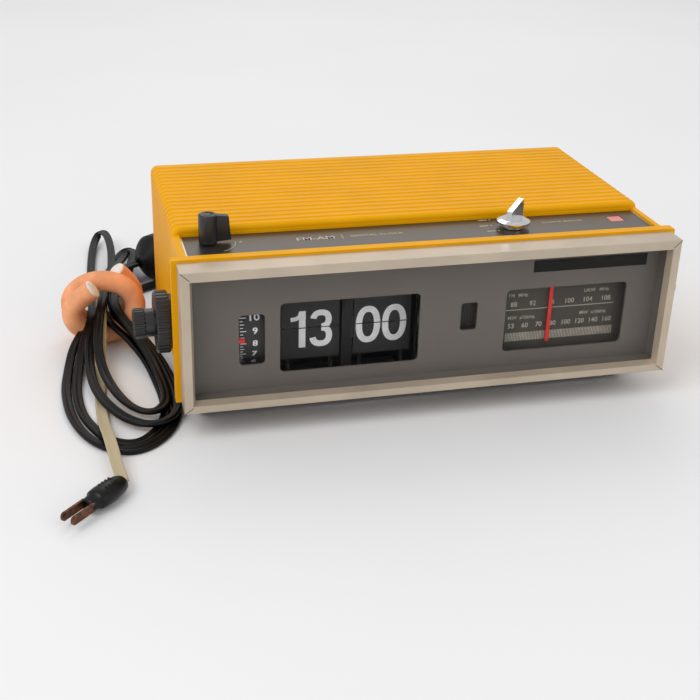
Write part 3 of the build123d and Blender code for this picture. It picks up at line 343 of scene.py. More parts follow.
BRASS = Finish("turned_brass", (0.80, 0.66, 0.34), 0.1, 1.0, 0.3, 0.1, Grain.ALONG_X, 0.15, 0.01)
KNOB = Finish("knob_black", (0.03, 0.03, 0.03), 0.2, roughness=0.28, relief=0.01, shine=0.35)
DRUM = Finish("drum_black", (0.085, 0.083, 0.08), 0.2, roughness=0.55)
LEAF = Finish("leaf_black", (0.085, 0.08, 0.08), 0.15, roughness=0.5, relief=0.01)
NYLON = Finish("natural_nylon", (0.86, 0.85, 0.80), 0.08, roughness=0.45)
DIAL = Finish("dial_black", (0.135, 0.12, 0.105), 0.12, roughness=0.5, relief=0.01)
SIGNAL_RED = Finish("signal_red", (0.93, 0.17, 0.12), 0.06, roughness=0.35, relief=0.005)
JEWEL = Cellular(
    "jewel_pink", (0.86, 0.36, 0.34), 0.15, roughness=0.15, relief=0.35, coat=0.6,
    cell=1.1, cloud_size=4,
)
VANES = Banded(
    "gang_vanes", (0.78, 0.78, 0.77), metallic=1.0, roughness=0.35, relief=0.2, pitch=1.2,
)
CORE = Banded(
    "core_laminations", (0.24, 0.22, 0.20), roughness=0.5, relief=0.08, across=Across.Y, pitch=0.7,
)
WINDING = Banded(
    "winding_paper", (0.76, 0.62, 0.30), roughness=0.5, relief=0.12, pitch=0.8, dark=0.2,
)
BASKET = Finish("basket_zinc", (0.62, 0.61, 0.58), 0.15, 1.0, 0.42, 0.1, grain_size=1.0)
PULP = Finish(
    "cone_pulp", (0.11, 0.105, 0.10), 0.3, roughness=0.9, grain_size=0.9, relief=0.15, cloud_size=5,
)
BOARD = Finish(
    "phenolic_board", (0.55, 0.37, 0.19), 0.15, roughness=0.5, grain_size=0.4, cloud_size=9,
)
PARTS = Finish("tinned_parts", (0.70, 0.70, 0.71), 0.2, 0.8, 0.35, 0.1, cloud_size=12, relief=0.01)
FERRITE = Banded("ferrite_sleeves", (0.36, 0.34, 0.33), roughness=0.6, relief=0.08)
VINYL = Finish("black_vinyl", (0.02, 0.02, 0.02), 0.25, roughness=0.40, grain_size=0.8, shine=0.22)
PLUG = Finish(
    "plug_vinyl", (0.035, 0.035, 0.035), 0.25, roughness=0.5, grain_size=0.9, relief=0.06,
    cloud_size=12, shine=0.25,
)
NICKEL = Finish("nickel_pins", (0.80, 0.78, 0.72), 0.1, 1.0, 0.25, 0.1, cloud_size=4, relief=0.005)
COPPER = Finish("tarnished_prongs", (0.42, 0.27, 0.17), 0.35, 0.7, 0.45, 0.15, cloud_size=3)
FOAM = Cellular(
    "orange_foam", (0.97, 0.66, 0.47), 0.10, roughness=0.8, relief=0.12, cell=0.9, cloud_size=15,
)
CAP_WHITE = Finish("cap_white", (0.92, 0.90, 0.87), 0.05, roughness=0.5, cloud_size=4)
RIBBON = Finish(
    "ribbon_tan", (0.38, 0.32, 0.22), 0.14, shine=0.25, roughness=0.5, grain_size=0.7,
    relief=0.03, cloud_size=10,
)
AERIAL_BODY = Finish(
    "aerial_plug_black", (0.025, 0.024, 0.023), 0.25, roughness=0.35, relief=0.03,
    cloud_size=6, shine=0.3,
)
WHITE_INK = Finish(
    "white_ink", (0.99, 0.99, 0.985), 0.04, roughness=0.6, grain_size=0.2, relief=0.005,
    cloud_size=5,
)
PALE_INK = Finish(
    "pale_ink", (0.74, 0.71, 0.65), 0.08, roughness=0.6, grain_size=0.2, relief=0.005, cloud_size=5,
)
SEAM = Finish("seam_shadow", (0.16, 0.14, 0.12), 0.1, roughness=0.7, relief=0.01)
FLOOR = Finish(
    "pale_floor", (0.93, 0.93, 0.935), 0.006, roughness=0.75, grain_size=3, relief=0.01,
    cloud_size=400,
)


# ---------- making pieces


def linked(name: str, data: bpy.types.ID) -> bpy.types.Object:
    """A new object of that data, linked to the scene.

    Args:
        name: the object's name.
        data: its mesh, curve, light or camera.

    Returns:
        The object.
    """
    holder = bpy.data.objects.new(name, data)
    bpy.context.scene.collection.objects.link(holder)
    return holder


@dataclass
class Assembly:
    """A group of pieces that ride on one body unless a piece says otherwise."""

    body: str = "set"

    def dress(self, finish: Finish, *nodes: str) -> None:
        """Gives CAD nodes a finish.

        Args:
            finish: the finish.
            nodes: the nodes' names.
        """
        for node in nodes:
            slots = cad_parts[node].data.materials
            slots.clear()
            slots.append(finish.material())
        LOG.info("%s: %s", finish.name, ", ".join(nodes))

    def keep(
        self, mesh: bpy.types.Mesh, name: str, finish: Finish, slot: str, body: str = ""
    ) -> bpy.types.Object:
        """Makes a finished mesh a piece of the radio.

        Args:
            mesh: its mesh, already in place.
            name: the piece's name.
            finish: its finish.
            slot: a slot's name; not used.
            body: the body it rides on, if that isn't the assembly's.

        Returns:
            The piece.
        """
        mesh.name = name
        mesh.materials.clear()
        mesh.materials.append(finish.material())
        piece = linked(name, mesh)
        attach(piece, body or self.body)
        LOG.info("%s rides on %s, %d faces", name, body or self.body, len(mesh.polygons))
        return piece

    def build(self) -> None:
        """Makes and dresses the assembly."""
        raise NotImplementedError


def as_mesh(shape: bmesh.types.BMesh, smooth: bool = False) -> bpy.types.Mesh:
    """Closes a bmesh into a mesh.

    Args:
        shape: the bmesh, which is freed.
        smooth: whether its faces are shaded smooth.

    Returns:
        The mesh.
    """
    mesh = bpy.data.meshes.new("shape")
    shape.to_mesh(mesh)
    shape.free()
    mesh.shade_smooth() if smooth else mesh.shade_flat()
    return mesh


def add_box(shape: bmesh.types.BMesh, size: Place, place: Matrix) -> list[bmesh.types.BMVert]:
    """Adds a box to a bmesh.

    Args:
        shape: the bmesh.
        size: the box's size in metres.
        place: its frame.

    Returns:
        The box's corners.
    """
    verts = bmesh.ops.create_cube(shape, size=1.0)["verts"]
    bmesh.ops.transform(shape, matrix=place @ Matrix.Diagonal((*size, 1)), verts=verts)
    return verts


def add_line(curve: bpy.types.Curve, corners: list[Point], closed: bool) -> None:
    """Adds a straight-sided line to a curve.

    Args:
        curve: the curve.
        corners: the line's corners in millimetres.
        closed: whether it runs back to its start.
    """
    spline = curve.splines.new("POLY")
    spline.points.add(len(corners) - 1)
    for point, (x, y) in zip(spline.points, corners):
        point.co = (x * MM, y * MM, 0, 1)
    spline.use_cyclic_u = closed


def frame_of(origin: Vector, right: Vector, up: Vector) -> Matrix:
    """The matrix of a flat face with that centre, right and up."""
    right, up = right.normalized(), up.normalized()
    return Matrix.Translation(origin) @ Matrix((right, up, right.cross(up))).transposed().to_4x4()


OVAL_POWER = 0.86
OVAL_STEP = 9


def arc(x: float, y: float, across: float, tall: float, start: float, end: float) -> list[Point]:
    """Points round a squared oval, from one angle to another.

    Args:
        x: its centre across.
        y: its centre up.
        across: half its width.
        tall: half its height.
        start: the angle that it starts at, in degrees.
        end: the angle that it ends at.

    Returns:
        The points.
    """
    steps = max(8, round(abs(end - start) / OVAL_STEP))
    points = []
    for step in range(steps + 1):
        turn = math.radians(start + (end - start) * step / steps)
        c, s = math.cos(turn), math.sin(turn)
        out, up = (math.copysign(abs(v) ** OVAL_POWER, v) for v in (c, s))
        points.append((x + across * out, y + tall * up))
    return points


# Each numeral's strokes: the line in millimetres about its middle, its width, and whether it closes.
FIGURES = {
    "0": [(arc(0, 0, 5.6, 10.0, 0, 351), 3.9, True)],
    "1": [
        ([(0, -11.75), (0, 11.75)], 4.0, False),
        ([(-7.0, 6.6), (-3.6, 7.0), (-1.7, 8.2), (-0.6, 11.4)], 2.6, False),
    ],
    "3": [
        (arc(-0.1, 5.6, 4.6, 4.5, 172, -88), 3.7, False),
        (arc(-0.1, -4.9, 5.0, 5.1, 88, -172), 3.8, False),
    ],
    "4": [
        ([(3.0, -11.75), (3.0, 11.75)], 3.9, False), ([(-7.0, -5.2), (7.0, -5.2)], 3.6, False),
        ([(-5.8, -4.6), (2.2, 10.6)], 3.2, False),
    ],
}


@dataclass
class Printing:
    """Ink on a surface: words and bars gathered into one mesh, each laid by its own frame."""

    depth: float = 0.04 * MM

    def __post_init__(self) -> None:
        """Starts with nothing printed."""
        self.shape = bmesh.new()

    def bar(self, width: float, height: float, place: Matrix) -> None:
        """Adds a bar of that size in metres."""
        add_box(self.shape, (width, height, self.depth), place)

    def word(
        self, text: str, height: float, place: Matrix, width: float = 0.0, weight: float = 0.0
    ) -> None:
        """Adds a word centred on its frame.

        Args:
            text: what it says.
            height: height of its capitals or numerals, in metres.
            place: its frame.
            width: its whole width in metres, or 0 for the type's own.
            weight: how far the strokes are thickened, as a share of the type size.
        """
        type_curve = bpy.data.curves.new("word", "FONT")
        type_curve.body = text
        type_curve.offset = weight
        type_curve.resolution_u = 3
        holder = linked("word", type_curve)
        flat = settled(holder)
        word = bmesh.new()
        word.from_mesh(flat)
        bpy.data.objects.remove(holder)
        bpy.data.meshes.remove(flat)
        xs, ys = [v.co.x for v in word.verts], [v.co.y for v in word.verts]
        grow_y = height / (max(ys) - min(ys))
        grow_x = width / (max(xs) - min(xs)) if width else grow_y
        middle = Vector(((max(xs) + min(xs)) / 2, (max(ys) + min(ys)) / 2, 0))
        fit = Matrix.Diagonal((grow_x, grow_y, 1, 1)) @ Matrix.Translation(-middle)
        bmesh.ops.transform(word, matrix=fit, verts=word.verts)
        rise = bmesh.ops.extrude_face_region(word, geom=word.faces[:], use_keep_orig=True)
        raised = [v for v in rise["geom"] if isinstance(v, bmesh.types.BMVert)]
        bmesh.ops.translate(word, vec=(0, 0, self.depth), verts=raised)
        bmesh.ops.recalc_face_normals(word, faces=word.faces)
        bmesh.ops.transform(word, matrix=place, verts=word.verts)
        piece = bpy.data.meshes.new("word")
        word.to_mesh(piece)
        word.free()
        self.shape.from_mesh(piece)
        bpy.data.meshes.remove(piece)

    def stroke(self, points: list[Point], width: float, place: Matrix, closed: bool) -> None:
        """Adds a stroke with square ends.

        Args:
            points: the line that it follows, in millimetres on its frame.
            width: its width in millimetres.
            place: its frame.
            closed: whether the line runs back to its start.
        """
        line = bpy.data.curves.new("stroke", "CURVE")
        line.dimensions = "3D"
        line.bevel_depth = width / 2 * MM
        line.bevel_resolution = 0
        line.use_fill_caps = True
        add_line(line, points, closed)
        holder = linked("stroke", line)
        flat = settled(holder)
        bpy.data.objects.remove(holder)
        flat.transform(place @ Matrix.Diagonal((1, 1, self.depth / (width * MM), 1)))
        self.shape.from_mesh(flat)
        bpy.data.meshes.remove(flat)

    def numeral(self, figure: str, place: Matrix) -> None:
        """Adds one large clock numeral, centred on its frame."""
        for points, width, closed in FIGURES[figure]:
            self.stroke(points, width, place, closed)

    def cut(self, height: float, above: bool) -> None:
        """Keeps only the ink on one side of a height.

        Args:
            height: the height in metres.
            above: whether the ink above it is kept, rather than the ink below.
        """
        bmesh.ops.bisect_plane(
            self.shape, geom=self.shape.verts[:] + self.shape.edges[:] + self.shape.faces[:],
            plane_co=(0, 0, height), plane_no=(0, 0, 1), clear_inner=above, clear_outer=not above,
        )

    def turn(self, about: Vector) -> None:
        """Turns the ink half a turn about a line along X."""
        half = Matrix.Translation(about) @ Matrix.Rotation(math.pi, 4, "X") @ Matrix.Translation(-about)
        bmesh.ops.transform(self.shape, matrix=half, verts=self.shape.verts)

    def mesh(self) -> bpy.types.Mesh:
        """The ink as one mesh."""
        return as_mesh(self.shape)


def turned(profile: list[Point], origin: Vector, axis: Vector, steps: int = 40) -> bpy.types.Mesh:
    """A shape turned about an axis.

    Args:
        profile: (distance along the axis, radius) in millimetres.
        origin: where the axis starts, in metres.
        axis: its direction.
        steps: how many steps go round.

    Returns:
        The closed mesh.
    """
    shape = bmesh.new()
    axis = axis.normalized()
    side = axis.orthogonal().normalized()
    verts = [shape.verts.new(origin + axis * s * MM + side * r * MM) for s, r in profile]
    edges = [shape.edges.new(pair) for pair in zip(verts, verts[1:])]
    bmesh.ops.spin(
        shape, geom=verts + edges, cent=origin, axis=axis, angle=math.tau, steps=steps,
        use_merge=True, use_duplicate=False,
    )
    bmesh.ops.remove_doubles(shape, verts=shape.verts, dist=DOUBLED)
    bmesh.ops.holes_fill(shape, edges=[e for e in shape.edges if e.is_boundary], sides=0)
    bmesh.ops.recalc_face_normals(shape, faces=shape.faces)
    return as_mesh(shape, smooth=True)


# ---------- cords


@dataclass(frozen=True)
class Section:
    """A cord's section in millimetres: two cores side by side, with a web between them."""

    width: float
    thickness: float
    web: float = 1.0
    half_steps: int = 3
    step_degrees: float = 40.0
    web_start: float = 0.7
    least_web: float = 0.3

    def curve(self, name: str) -> bpy.types.Object:
        """The section as a closed flat curve.

        Args:
            name: the curve's name.

        Returns:
            The curve's object.
        """
        radius = self.thickness / 2
        reach = self.width / 2 - radius
        outline = bpy.data.curves.new(name, "CURVE")
        corners = []
        for side in (1, -1):
            for step in range(-self.half_steps, self.half_steps + 1):
                turn = math.radians(self.step_degrees * step) + (0 if side > 0 else math.pi)
                y = radius * math.sin(turn)
                x = side * reach + radius * math.cos(turn)
                if abs(step) == self.half_steps:
                    y = math.copysign(radius * self.web, y)
                    x = side * max(self.least_web, reach - self.web_start * radius)
                corners.append((x, y))
        add_line(outline, corners, closed=True)
        return linked(name, outline)


ROLL_STEP = 0.9
LINE_STEPS = 8


def route_curve(name: str, route: list[Vector], tilt: float = 0.0) -> bpy.types.Object:
    """A route as one open spline.

    Args:
        name: the object's name.
        route: its control points in metres.
        tilt: how far a flat cord rolls to and fro along it, in radians.

    Returns:
        The curve's object.
    """
    line = bpy.data.curves.new(name, "CURVE")
    line.dimensions = "3D"
    line.resolution_u = LINE_STEPS
    line.twist_mode = "Z_UP"
    line.use_fill_caps = True
    spline = line.splines.new("NURBS")
    spline.points.add(len(route) - 1)
    for index, (point, place) in enumerate(zip(spline.points, route)):
        point.co = (*place, 1)
        point.tilt = tilt * math.sin(index * ROLL_STEP)
    spline.order_u = 3
    spline.use_endpoint_u = True
    return linked(name, line)


def settled(holder: bpy.types.Object) -> bpy.types.Mesh:
    """The mesh that a curve makes."""
    bpy.context.view_layer.update()
    return bpy.data.meshes.new_from_object(holder.evaluated_get(bpy.context.evaluated_depsgraph_get()))


def flat_cord(
    name: str, route: list[Vector], section: Section, tilt: float
) -> tuple[bpy.types.Mesh, list[Vector]]:
    """A flat cord's tube along a route.

    Args:
        name: the cord's name.
        route: its control points in metres.
        section: its section.
        tilt: how far it rolls to and fro.

    Returns:
        The tube's mesh, and the points along its middle.
    """
    holder = route_curve(name, route, tilt)
    middle = settled(holder)
    path = spaced(middle)
    outline = section.curve(name + "_section")
    holder.data.bevel_mode = "OBJECT"
    holder.data.bevel_object = outline
    tube = settled(holder)
    bpy.data.meshes.remove(middle)
    bpy.data.objects.remove(holder)
    bpy.data.objects.remove(outline)
    shape = bmesh.new()
    shape.from_mesh(tube)
    bpy.data.meshes.remove(tube)
    bmesh.ops.remove_doubles(shape, verts=shape.verts, dist=DOUBLED)
    bmesh.ops.recalc_face_normals(shape, faces=shape.faces)
    return as_mesh(shape, smooth=True), path


def spaced(mesh: bpy.types.Mesh) -> list[Vector]:
    """Lists the points of a line's mesh in order, without any that repeat.

    Args:
        mesh: the mesh.

    Returns:
        The points.
    """
    points = [mesh.vertices[0].co.copy()]
    for vertex in mesh.vertices:
        if (vertex.co - points[-1]).length > CLOSEST_POINTS:
            points.append(vertex.co.copy())
    return points


def length_of(path: list[Vector]) -> float:
    """Length of a line through points, in metres."""
    return sum((b - a).length for a, b in zip(path, path[1:]))


MAINS_ROUTE = [
    (-104, 101, 30), (-104, 114, 30), (-107.5, 127.5, 25.3), (-115.5, 137.5, 17),
    (-126.5, 142, 9.5), (-139, 141.2, 4.4), (-151, 136.5, 2.7), (-161.5, 128, 3.4),
    (-170.5, 115.5, 7.4), (-176.5, 102, 12.6),
]
HANK_ROUTE = [
    # first pass forward, outermost front fold, and back
    (-178, 88, 15.5), (-177.5, 72, 16.9), (-177, 58, 16.9), (-171, 44, 15.5), (-162, 27, 10),
    (-154.5, 8, 4.5), (-150, -15, 2.2), (-148, -40, 1.9), (-150, -63, 1.9), (-160, -84, 1.9),
    (-176, -96.5, 1.9), (-191.5, -91, 1.9), (-204, -74, 1.9), (-211.5, -47, 1.9), (-213, -15, 1.9),
    (-210, 13, 3), (-205.5, 34, 9), (-196.5, 49, 15.2), (-192, 60, 16.9), (-191, 74, 16.9),
    (-190.5, 88, 15.2),
    # long narrow rear fold
    (-190.5, 104, 10), (-190, 125, 4.5), (-189, 150, 2.2), (-187.3, 180, 2), (-185, 208, 2.4),
    (-182, 231, 4), (-177.8, 241.5, 7.5), (-173.6, 236, 11.4), (-171.3, 219, 12.8),
    (-170.6, 195, 12.6), (-172, 165, 12.2), (-174.5, 138, 12), (-180, 118, 13), (-184.5, 98, 15.5),
    (-184.5, 80, 16.9), (-184, 58, 16.9),
    # second front fold, inside the first
    (-179, 43, 16), (-169.5, 27, 12.2), (-161, 8, 6.5), (-156.8, -15, 2.4), (-155, -40, 1.9),
    (-157, -61, 1.9), (-165, -79, 2.1), (-176, -89, 1.9), (-189, -84, 1.9), (-198, -68, 1.9),
    (-205, -46, 1.9), (-206.5, -15, 1.9), (-203.5, 12, 3.8), (-199.5, 32, 10.5),
    (-193.5, 47, 18.9), (-191, 60, 20.4), (-191, 74, 20.4), (-190, 88, 18.7),
    # wider rear fold, lower strand
    (-187, 104, 15.5), (-184, 124, 11), (-180, 146, 6.5), (-174.5, 167, 5.2), (-169, 184, 5.2),
    (-164, 196, 6.2), (-158.8, 200.5, 8.2), (-155.6, 193, 10), (-156, 178, 10.6),
    (-159.5, 157, 10.4), (-164.5, 133, 10.8), (-169.5, 110, 13.4), (-175.5, 92, 19),
    (-177, 74, 20.4), (-177, 58, 20.4),
    # third front fold, down the slanting strands
    (-171.5, 43, 19.2), (-161, 26, 14), (-153, 7, 8.2), (-149, -15, 5.4), (-147.3, -38, 5.2),
    (-149, -58, 5.2), (-156, -70, 5.3), (-167, -73.5, 5.3), (-178, -66, 5.3), (-186.5, -51, 5.3),
    (-193, -33, 5.4), (-196.5, -12, 5), (-197, 12, 8), (-195, 34, 14), (-188, 48, 19.4),
    (-184.5, 60, 20.4), (-184, 74, 20.4), (-183.5, 88, 19.6),
    # wider rear fold, upper strand
    (-180.5, 104, 19.2), (-177, 124, 16.6), (-171.5, 146, 15.2), (-166.5, 166, 12),
    (-162.5, 179, 9.8), (-159.8, 187.5, 10.2), (-156.4, 189, 12.4), (-154, 180, 14),
    (-156, 164, 14.2), (-160.5, 146, 14.4), (-165, 127, 15), (-168.5, 108, 16.9),
    (-174.5, 90, 22.4), (-176.5, 74, 23.9), (-176.5, 58, 23.9),
    # innermost front fold, and out over the others
    (-173.5, 43, 22.6), (-166, 26, 16.4), (-159, 7, 9.6), (-155.3, -14, 5.6), (-153.8, -34, 5.2),
    (-155, -49, 5.2), (-162, -58.5, 5.2), (-171, -56, 5.2), (-178.5, -44, 5.2), (-184.5, -26, 5.6),
    (-189, -7, 8), (-191, 12, 13.6), (-189.5, 30, 20.5), (-187, 47, 25.8), (-184.5, 60, 27.8),
    (-183, 74, 27.8), (-179, 88, 26),
]
PLUG_ROUTE = [
    (-172, 101, 22), (-172.8, 115, 20.6), (-170.6, 129, 18.9), (-164.2, 141.6, 17.3), (-153, 150, 17.3),
]
AERIAL_ROUTE = [
    (-78, 88.4, 28), (-78, 101, 28), (-81, 114, 24), (-88, 125.5, 17.5), (-97.5, 135, 10.5),
    (-109, 142, 5), (-122, 145.8, 2.2), (-136, 146.3, 1.7), (-149.5, 143.4, 1.8),
    (-161.5, 136.5, 2.6), (-171.5, 125.5, 5.4), (-179, 111.5, 10.4), (-183.3, 96.5, 16.6),
    (-185, 80.5, 21.5), (-185.6, 63.5, 24), (-186.4, 46.5, 22), (-187.8, 29.5, 16),
    (-189.6, 13, 8.8), (-191.4, -3, 3.4), (-192.6, -20, 1.8), (-193, -38, 1.7), (-192.9, -56, 2),
    (-192.4, -72, 5.6), (-191.4, -87, 9.6), (-190.2, -103, 9.4), (-188.8, -118, 6.6),
    (-187, -133, 6.2),
]


@dataclass
class MainsLead(Assembly):
    """The flat twin mains lead, from its sleeve through the bundle to its plug."""

    section: Section = Section(6.2, 3.2, 0.5)
    roll: float = 0.35
    exit: Place = (-104, 101, 30)
    sleeve_start: Place = (-104, 87.4, 30)
    sleeve_profile: tuple[Point, ...] = (
        (0, 3.2), (0, 7.4), (2.2, 7.4), (2.6, 6.2), (6, 6.0), (6.4, 5.3), (7.4, 5.3),
        (7.8, 5.8), (10, 5.6), (10.4, 4.9), (11.4, 4.9), (11.8, 5.4), (14, 5.2), (14.4, 4.5),
        (15.4, 4.5), (15.8, 5.0), (18, 4.8), (18.4, 4.2), (19.4, 4.2), (19.8, 4.6), (22, 4.3),
        (22.6, 3.7), (22.6, 3.2),
    )

    def build(self) -> None:
        """Lays the lead, its tapered sleeve and its plug."""
        route = [mm(*p) for p in MAINS_ROUTE + HANK_ROUTE + PLUG_ROUTE]
        tube, path = flat_cord("mains_lead", route, self.section, self.roll)
        lead = self.keep(tube, "mains_lead", VINYL, "cord_black")
        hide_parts("mains_cord", "mains_hank", "plug_cord")
        sleeve_mesh = turned(list(self.sleeve_profile), mm(*self.sleeve_start), BACK)
        sleeve = self.keep(sleeve_mesh, "lead_sleeve", RUBBER, "foot_rubber")
        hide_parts("cord_gland")
        self.dress(PLUG, "mains_plug")
        self.dress(NICKEL, "plug_pins")
        LOG.info("mains lead is %.3f m", length_of(path))


@dataclass
class AerialLead(Assembly):
    """The flat tan aerial lead and its two-prong plug."""

    section: Section = Section(6.8, 1.8, 0.55)
    plug_angle: float = 225.6
    plug_start: Place = (-187, -133, 6.2)
    plug_sides: int = 28
    plug_sections: tuple[Place, ...] = (
        (0.4, 3.2, 2.6), (1.2, 4.6, 4.0), (4, 5.6, 5.0), (11, 6.5, 5.6), (17, 6.9, 5.5),
        (21.2, 6.6, 5.0), (22, 5.9, 4.4), (22.4, 5.2, 3.9), (27, 4.8, 3.5), (28, 4.4, 3.1),
    )
    grip_ribs: tuple[float, ...] = (8, 10.5, 13, 15.5)
    rib_height: float = 4.4
    rib_size: Place = (6.5, 2.2, 0.9)
    prong_apart: float = 3.4
    prong_middle: float = 35
    prong_size: Place = (1.4, 4.8, 17)
    tip_round: float = 2.0

    def plug_place(self) -> Matrix:
        """Finds where the plug lies.

        Returns:
            Its frame: across, up, and along its pins.
        """
        turn = math.radians(self.plug_angle)
        along = Vector((math.cos(turn), math.sin(turn), 0))
        axes = Matrix((UP.cross(along), UP, along)).transposed().to_4x4()
        return Matrix.Translation(mm(*self.plug_start)) @ axes

    def plug_body(self) -> bpy.types.Mesh:
        """Makes the tapered body, rounded behind and stepped in front, with grip ribs on top.

        Returns:
            Its mesh.
        """
        shape = bmesh.new()
        rings = []
        for s, wide, tall in self.plug_sections:
            ring = bmesh.ops.create_circle(shape, segments=self.plug_sides, radius=1.0)["verts"]
            size = Matrix.Diagonal((wide * MM, tall * MM, 1, 1))
            bmesh.ops.transform(shape, matrix=Matrix.Translation((0, 0, s * MM)) @ size, verts=ring)
            rings.append([e for e in shape.edges if all(v in ring for v in e.verts)])
        for near, far in zip(rings, rings[1:]):
            bmesh.ops.bridge_loops(shape, edges=near + far)
        bmesh.ops.holes_fill(shape, edges=[e for e in shape.edges if e.is_boundary], sides=0)
        for z in self.grip_ribs:
            add_box(shape, mm(*self.rib_size), Matrix.Translation(mm(0, self.rib_height, z)))
        bmesh.ops.recalc_face_normals(shape, faces=shape.faces)
        bmesh.ops.transform(shape, matrix=self.plug_place(), verts=shape.verts)
        return as_mesh(shape, smooth=True)

    def prongs(self) -> bpy.types.Mesh:
        """Makes the two flat prongs, rounded at their tips.

        Returns:
            Their mesh.
        """
        shape = bmesh.new()
        for side in (-1, 1):
            place = Matrix.Translation(mm(side * self.prong_apart, 0, self.prong_middle))
            prong = add_box(shape, mm(*self.prong_size), place)
            tip = [
                e for e in shape.edges
                if all(v in prong and v.co.z > self.prong_middle * MM for v in e.verts)
                and abs(e.verts[0].co.x - e.verts[1].co.x) > self.prong_size[0] * MM / 2
            ]
            bmesh.ops.bevel(
                shape, geom=tip, offset=self.tip_round * MM, affect="EDGES", segments=4,
                profile=0.5, material=-1,
            )
        bmesh.ops.transform(shape, matrix=self.plug_place(), verts=shape.verts)
        return as_mesh(shape)

    def build(self) -> None:
        """Lays the lead and ends it in its plug."""
        route = [mm(*p) for p in AERIAL_ROUTE]
        tube, path = flat_cord("aerial_ribbon", route, self.section, 0.0)
        lead = self.keep(tube, "aerial_ribbon", RIBBON, "ribbon_tan")
        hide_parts("fm_lead")
        body = self.keep(self.plug_body(), "aerial_plug_body", AERIAL_BODY, "fm_plug_black")
        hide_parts("fm_plug")
        prongs = self.keep(self.prongs(), "aerial_plug_prongs", COPPER, "fm_plug_black")
        LOG.info("aerial lead is %.3f m", length_of(path))


@dataclass
class BundleTie(Assembly):
    """The orange foam tie wound round the bundle, with a white cap on each end."""

    radius: float = 6.7
    centre: Point = (-184.0, 24.3)
    reach: Point = (21.5, 17.5)
    front_end: Place = (-191, 46, 42)
    rear_end: Place = (-173.5, 73, 42.5)
    turned_from: int = 150
    turned_whole: int = 600
    turned_step: int = 30
    drift_angle: int = 570
    start_y: float = 48
    drift_y: float = 26
    cap: tuple[Point, ...] = (
        (-0.6, 0.0), (-0.6, 5.6), (0.1, 6.3), (0.8, 6.2), (1.3, 5.4), (1.6, 0.0),
    )

    def route(self) -> list[Vector]:
        """Lays the tie's line: an end, the turns round the bundle, and the other end.

        Returns:
            Its control points in metres.
        """
        points = [mm(*self.front_end)]
        last = self.turned_from + self.turned_whole
        for degrees in range(self.turned_from, last + 1, self.turned_step):
            turn = math.radians(degrees)
            points.append(mm(
                self.centre[0] + self.reach[0] * math.cos(turn),
                self.start_y + self.drift_y * (degrees - self.turned_from) / self.drift_angle,
                self.centre[1] + self.reach[1] * math.sin(turn),
            ))
        return points + [mm(*self.rear_end)]

    def build(self) -> None:
        """Winds the tie and caps it."""
        route = self.route()
        holder = route_curve("bundle_tie", route)
        middle = settled(holder)
        holder.data.bevel_depth = self.radius * MM
        holder.data.bevel_resolution = 6
        tube = settled(holder)
        bpy.data.objects.remove(holder)
        bpy.data.meshes.remove(middle)
        tube.shade_smooth()
        tie = self.keep(tube, "bundle_tie", FOAM, "tie_orange")
        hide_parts("cord_tie")
        for name, end, inner in (
            ("tie_cap_front", route[0], route[1]), ("tie_cap_rear", route[-1], route[-2]),
        ):
            cap = turned(list(self.cap), end, end - inner)
            self.keep(cap, name, CAP_WHITE, "tie_orange")


# ---------- case


@dataclass
class Case(Assembly):
    """The yellow case, its silver bezel, base and rear cover."""

    mitre_width: float = 0.35
    front: float = -89.0
    half_width: float = 148.5
    opening_half: float = 143.4
    bezel_low: float = 18.0
    bezel_high: float = 104.0

    def build(self) -> None:
        """Dresses the shells and marks the bezel's mitred corners."""
        self.dress(CASE_YELLOW, "cabinet")
        self.dress(CHAMPAGNE, "front_bezel")
        self.dress(LENS, "front_lens")
        self.dress(BASE, "chassis_base", "aerial_terminal")
        self.dress(COVER, "rear_cover")
        self.dress(RUBBER, "feet")
        self.dress(ZINC, "rear_screws")
        self.dress(MASK, "front_mask")
        self.dress(RIBBED, "pilot_window")
        self.dress(NAMEPLATE, "nameplate")
        seams = Printing(depth=0.08 * MM)
        inner_low, inner_high = (corner.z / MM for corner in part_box("front_lens"))
        for side in (-1, 1):
            for outer, inner in ((self.bezel_low, inner_low), (self.bezel_high, inner_high)):
                start = mm(side * self.half_width, self.front - 0.02, outer)
                end = mm(side * self.opening_half, self.front - 0.02, inner)
                along = end - start
                place = frame_of((start + end) / 2, along, UP.cross(along).cross(along) * -1)
                seams.bar(along.length, self.mitre_width * MM, place)
        self.keep(seams.mesh(), "bezel_mitres", SEAM, "bezel_silver")


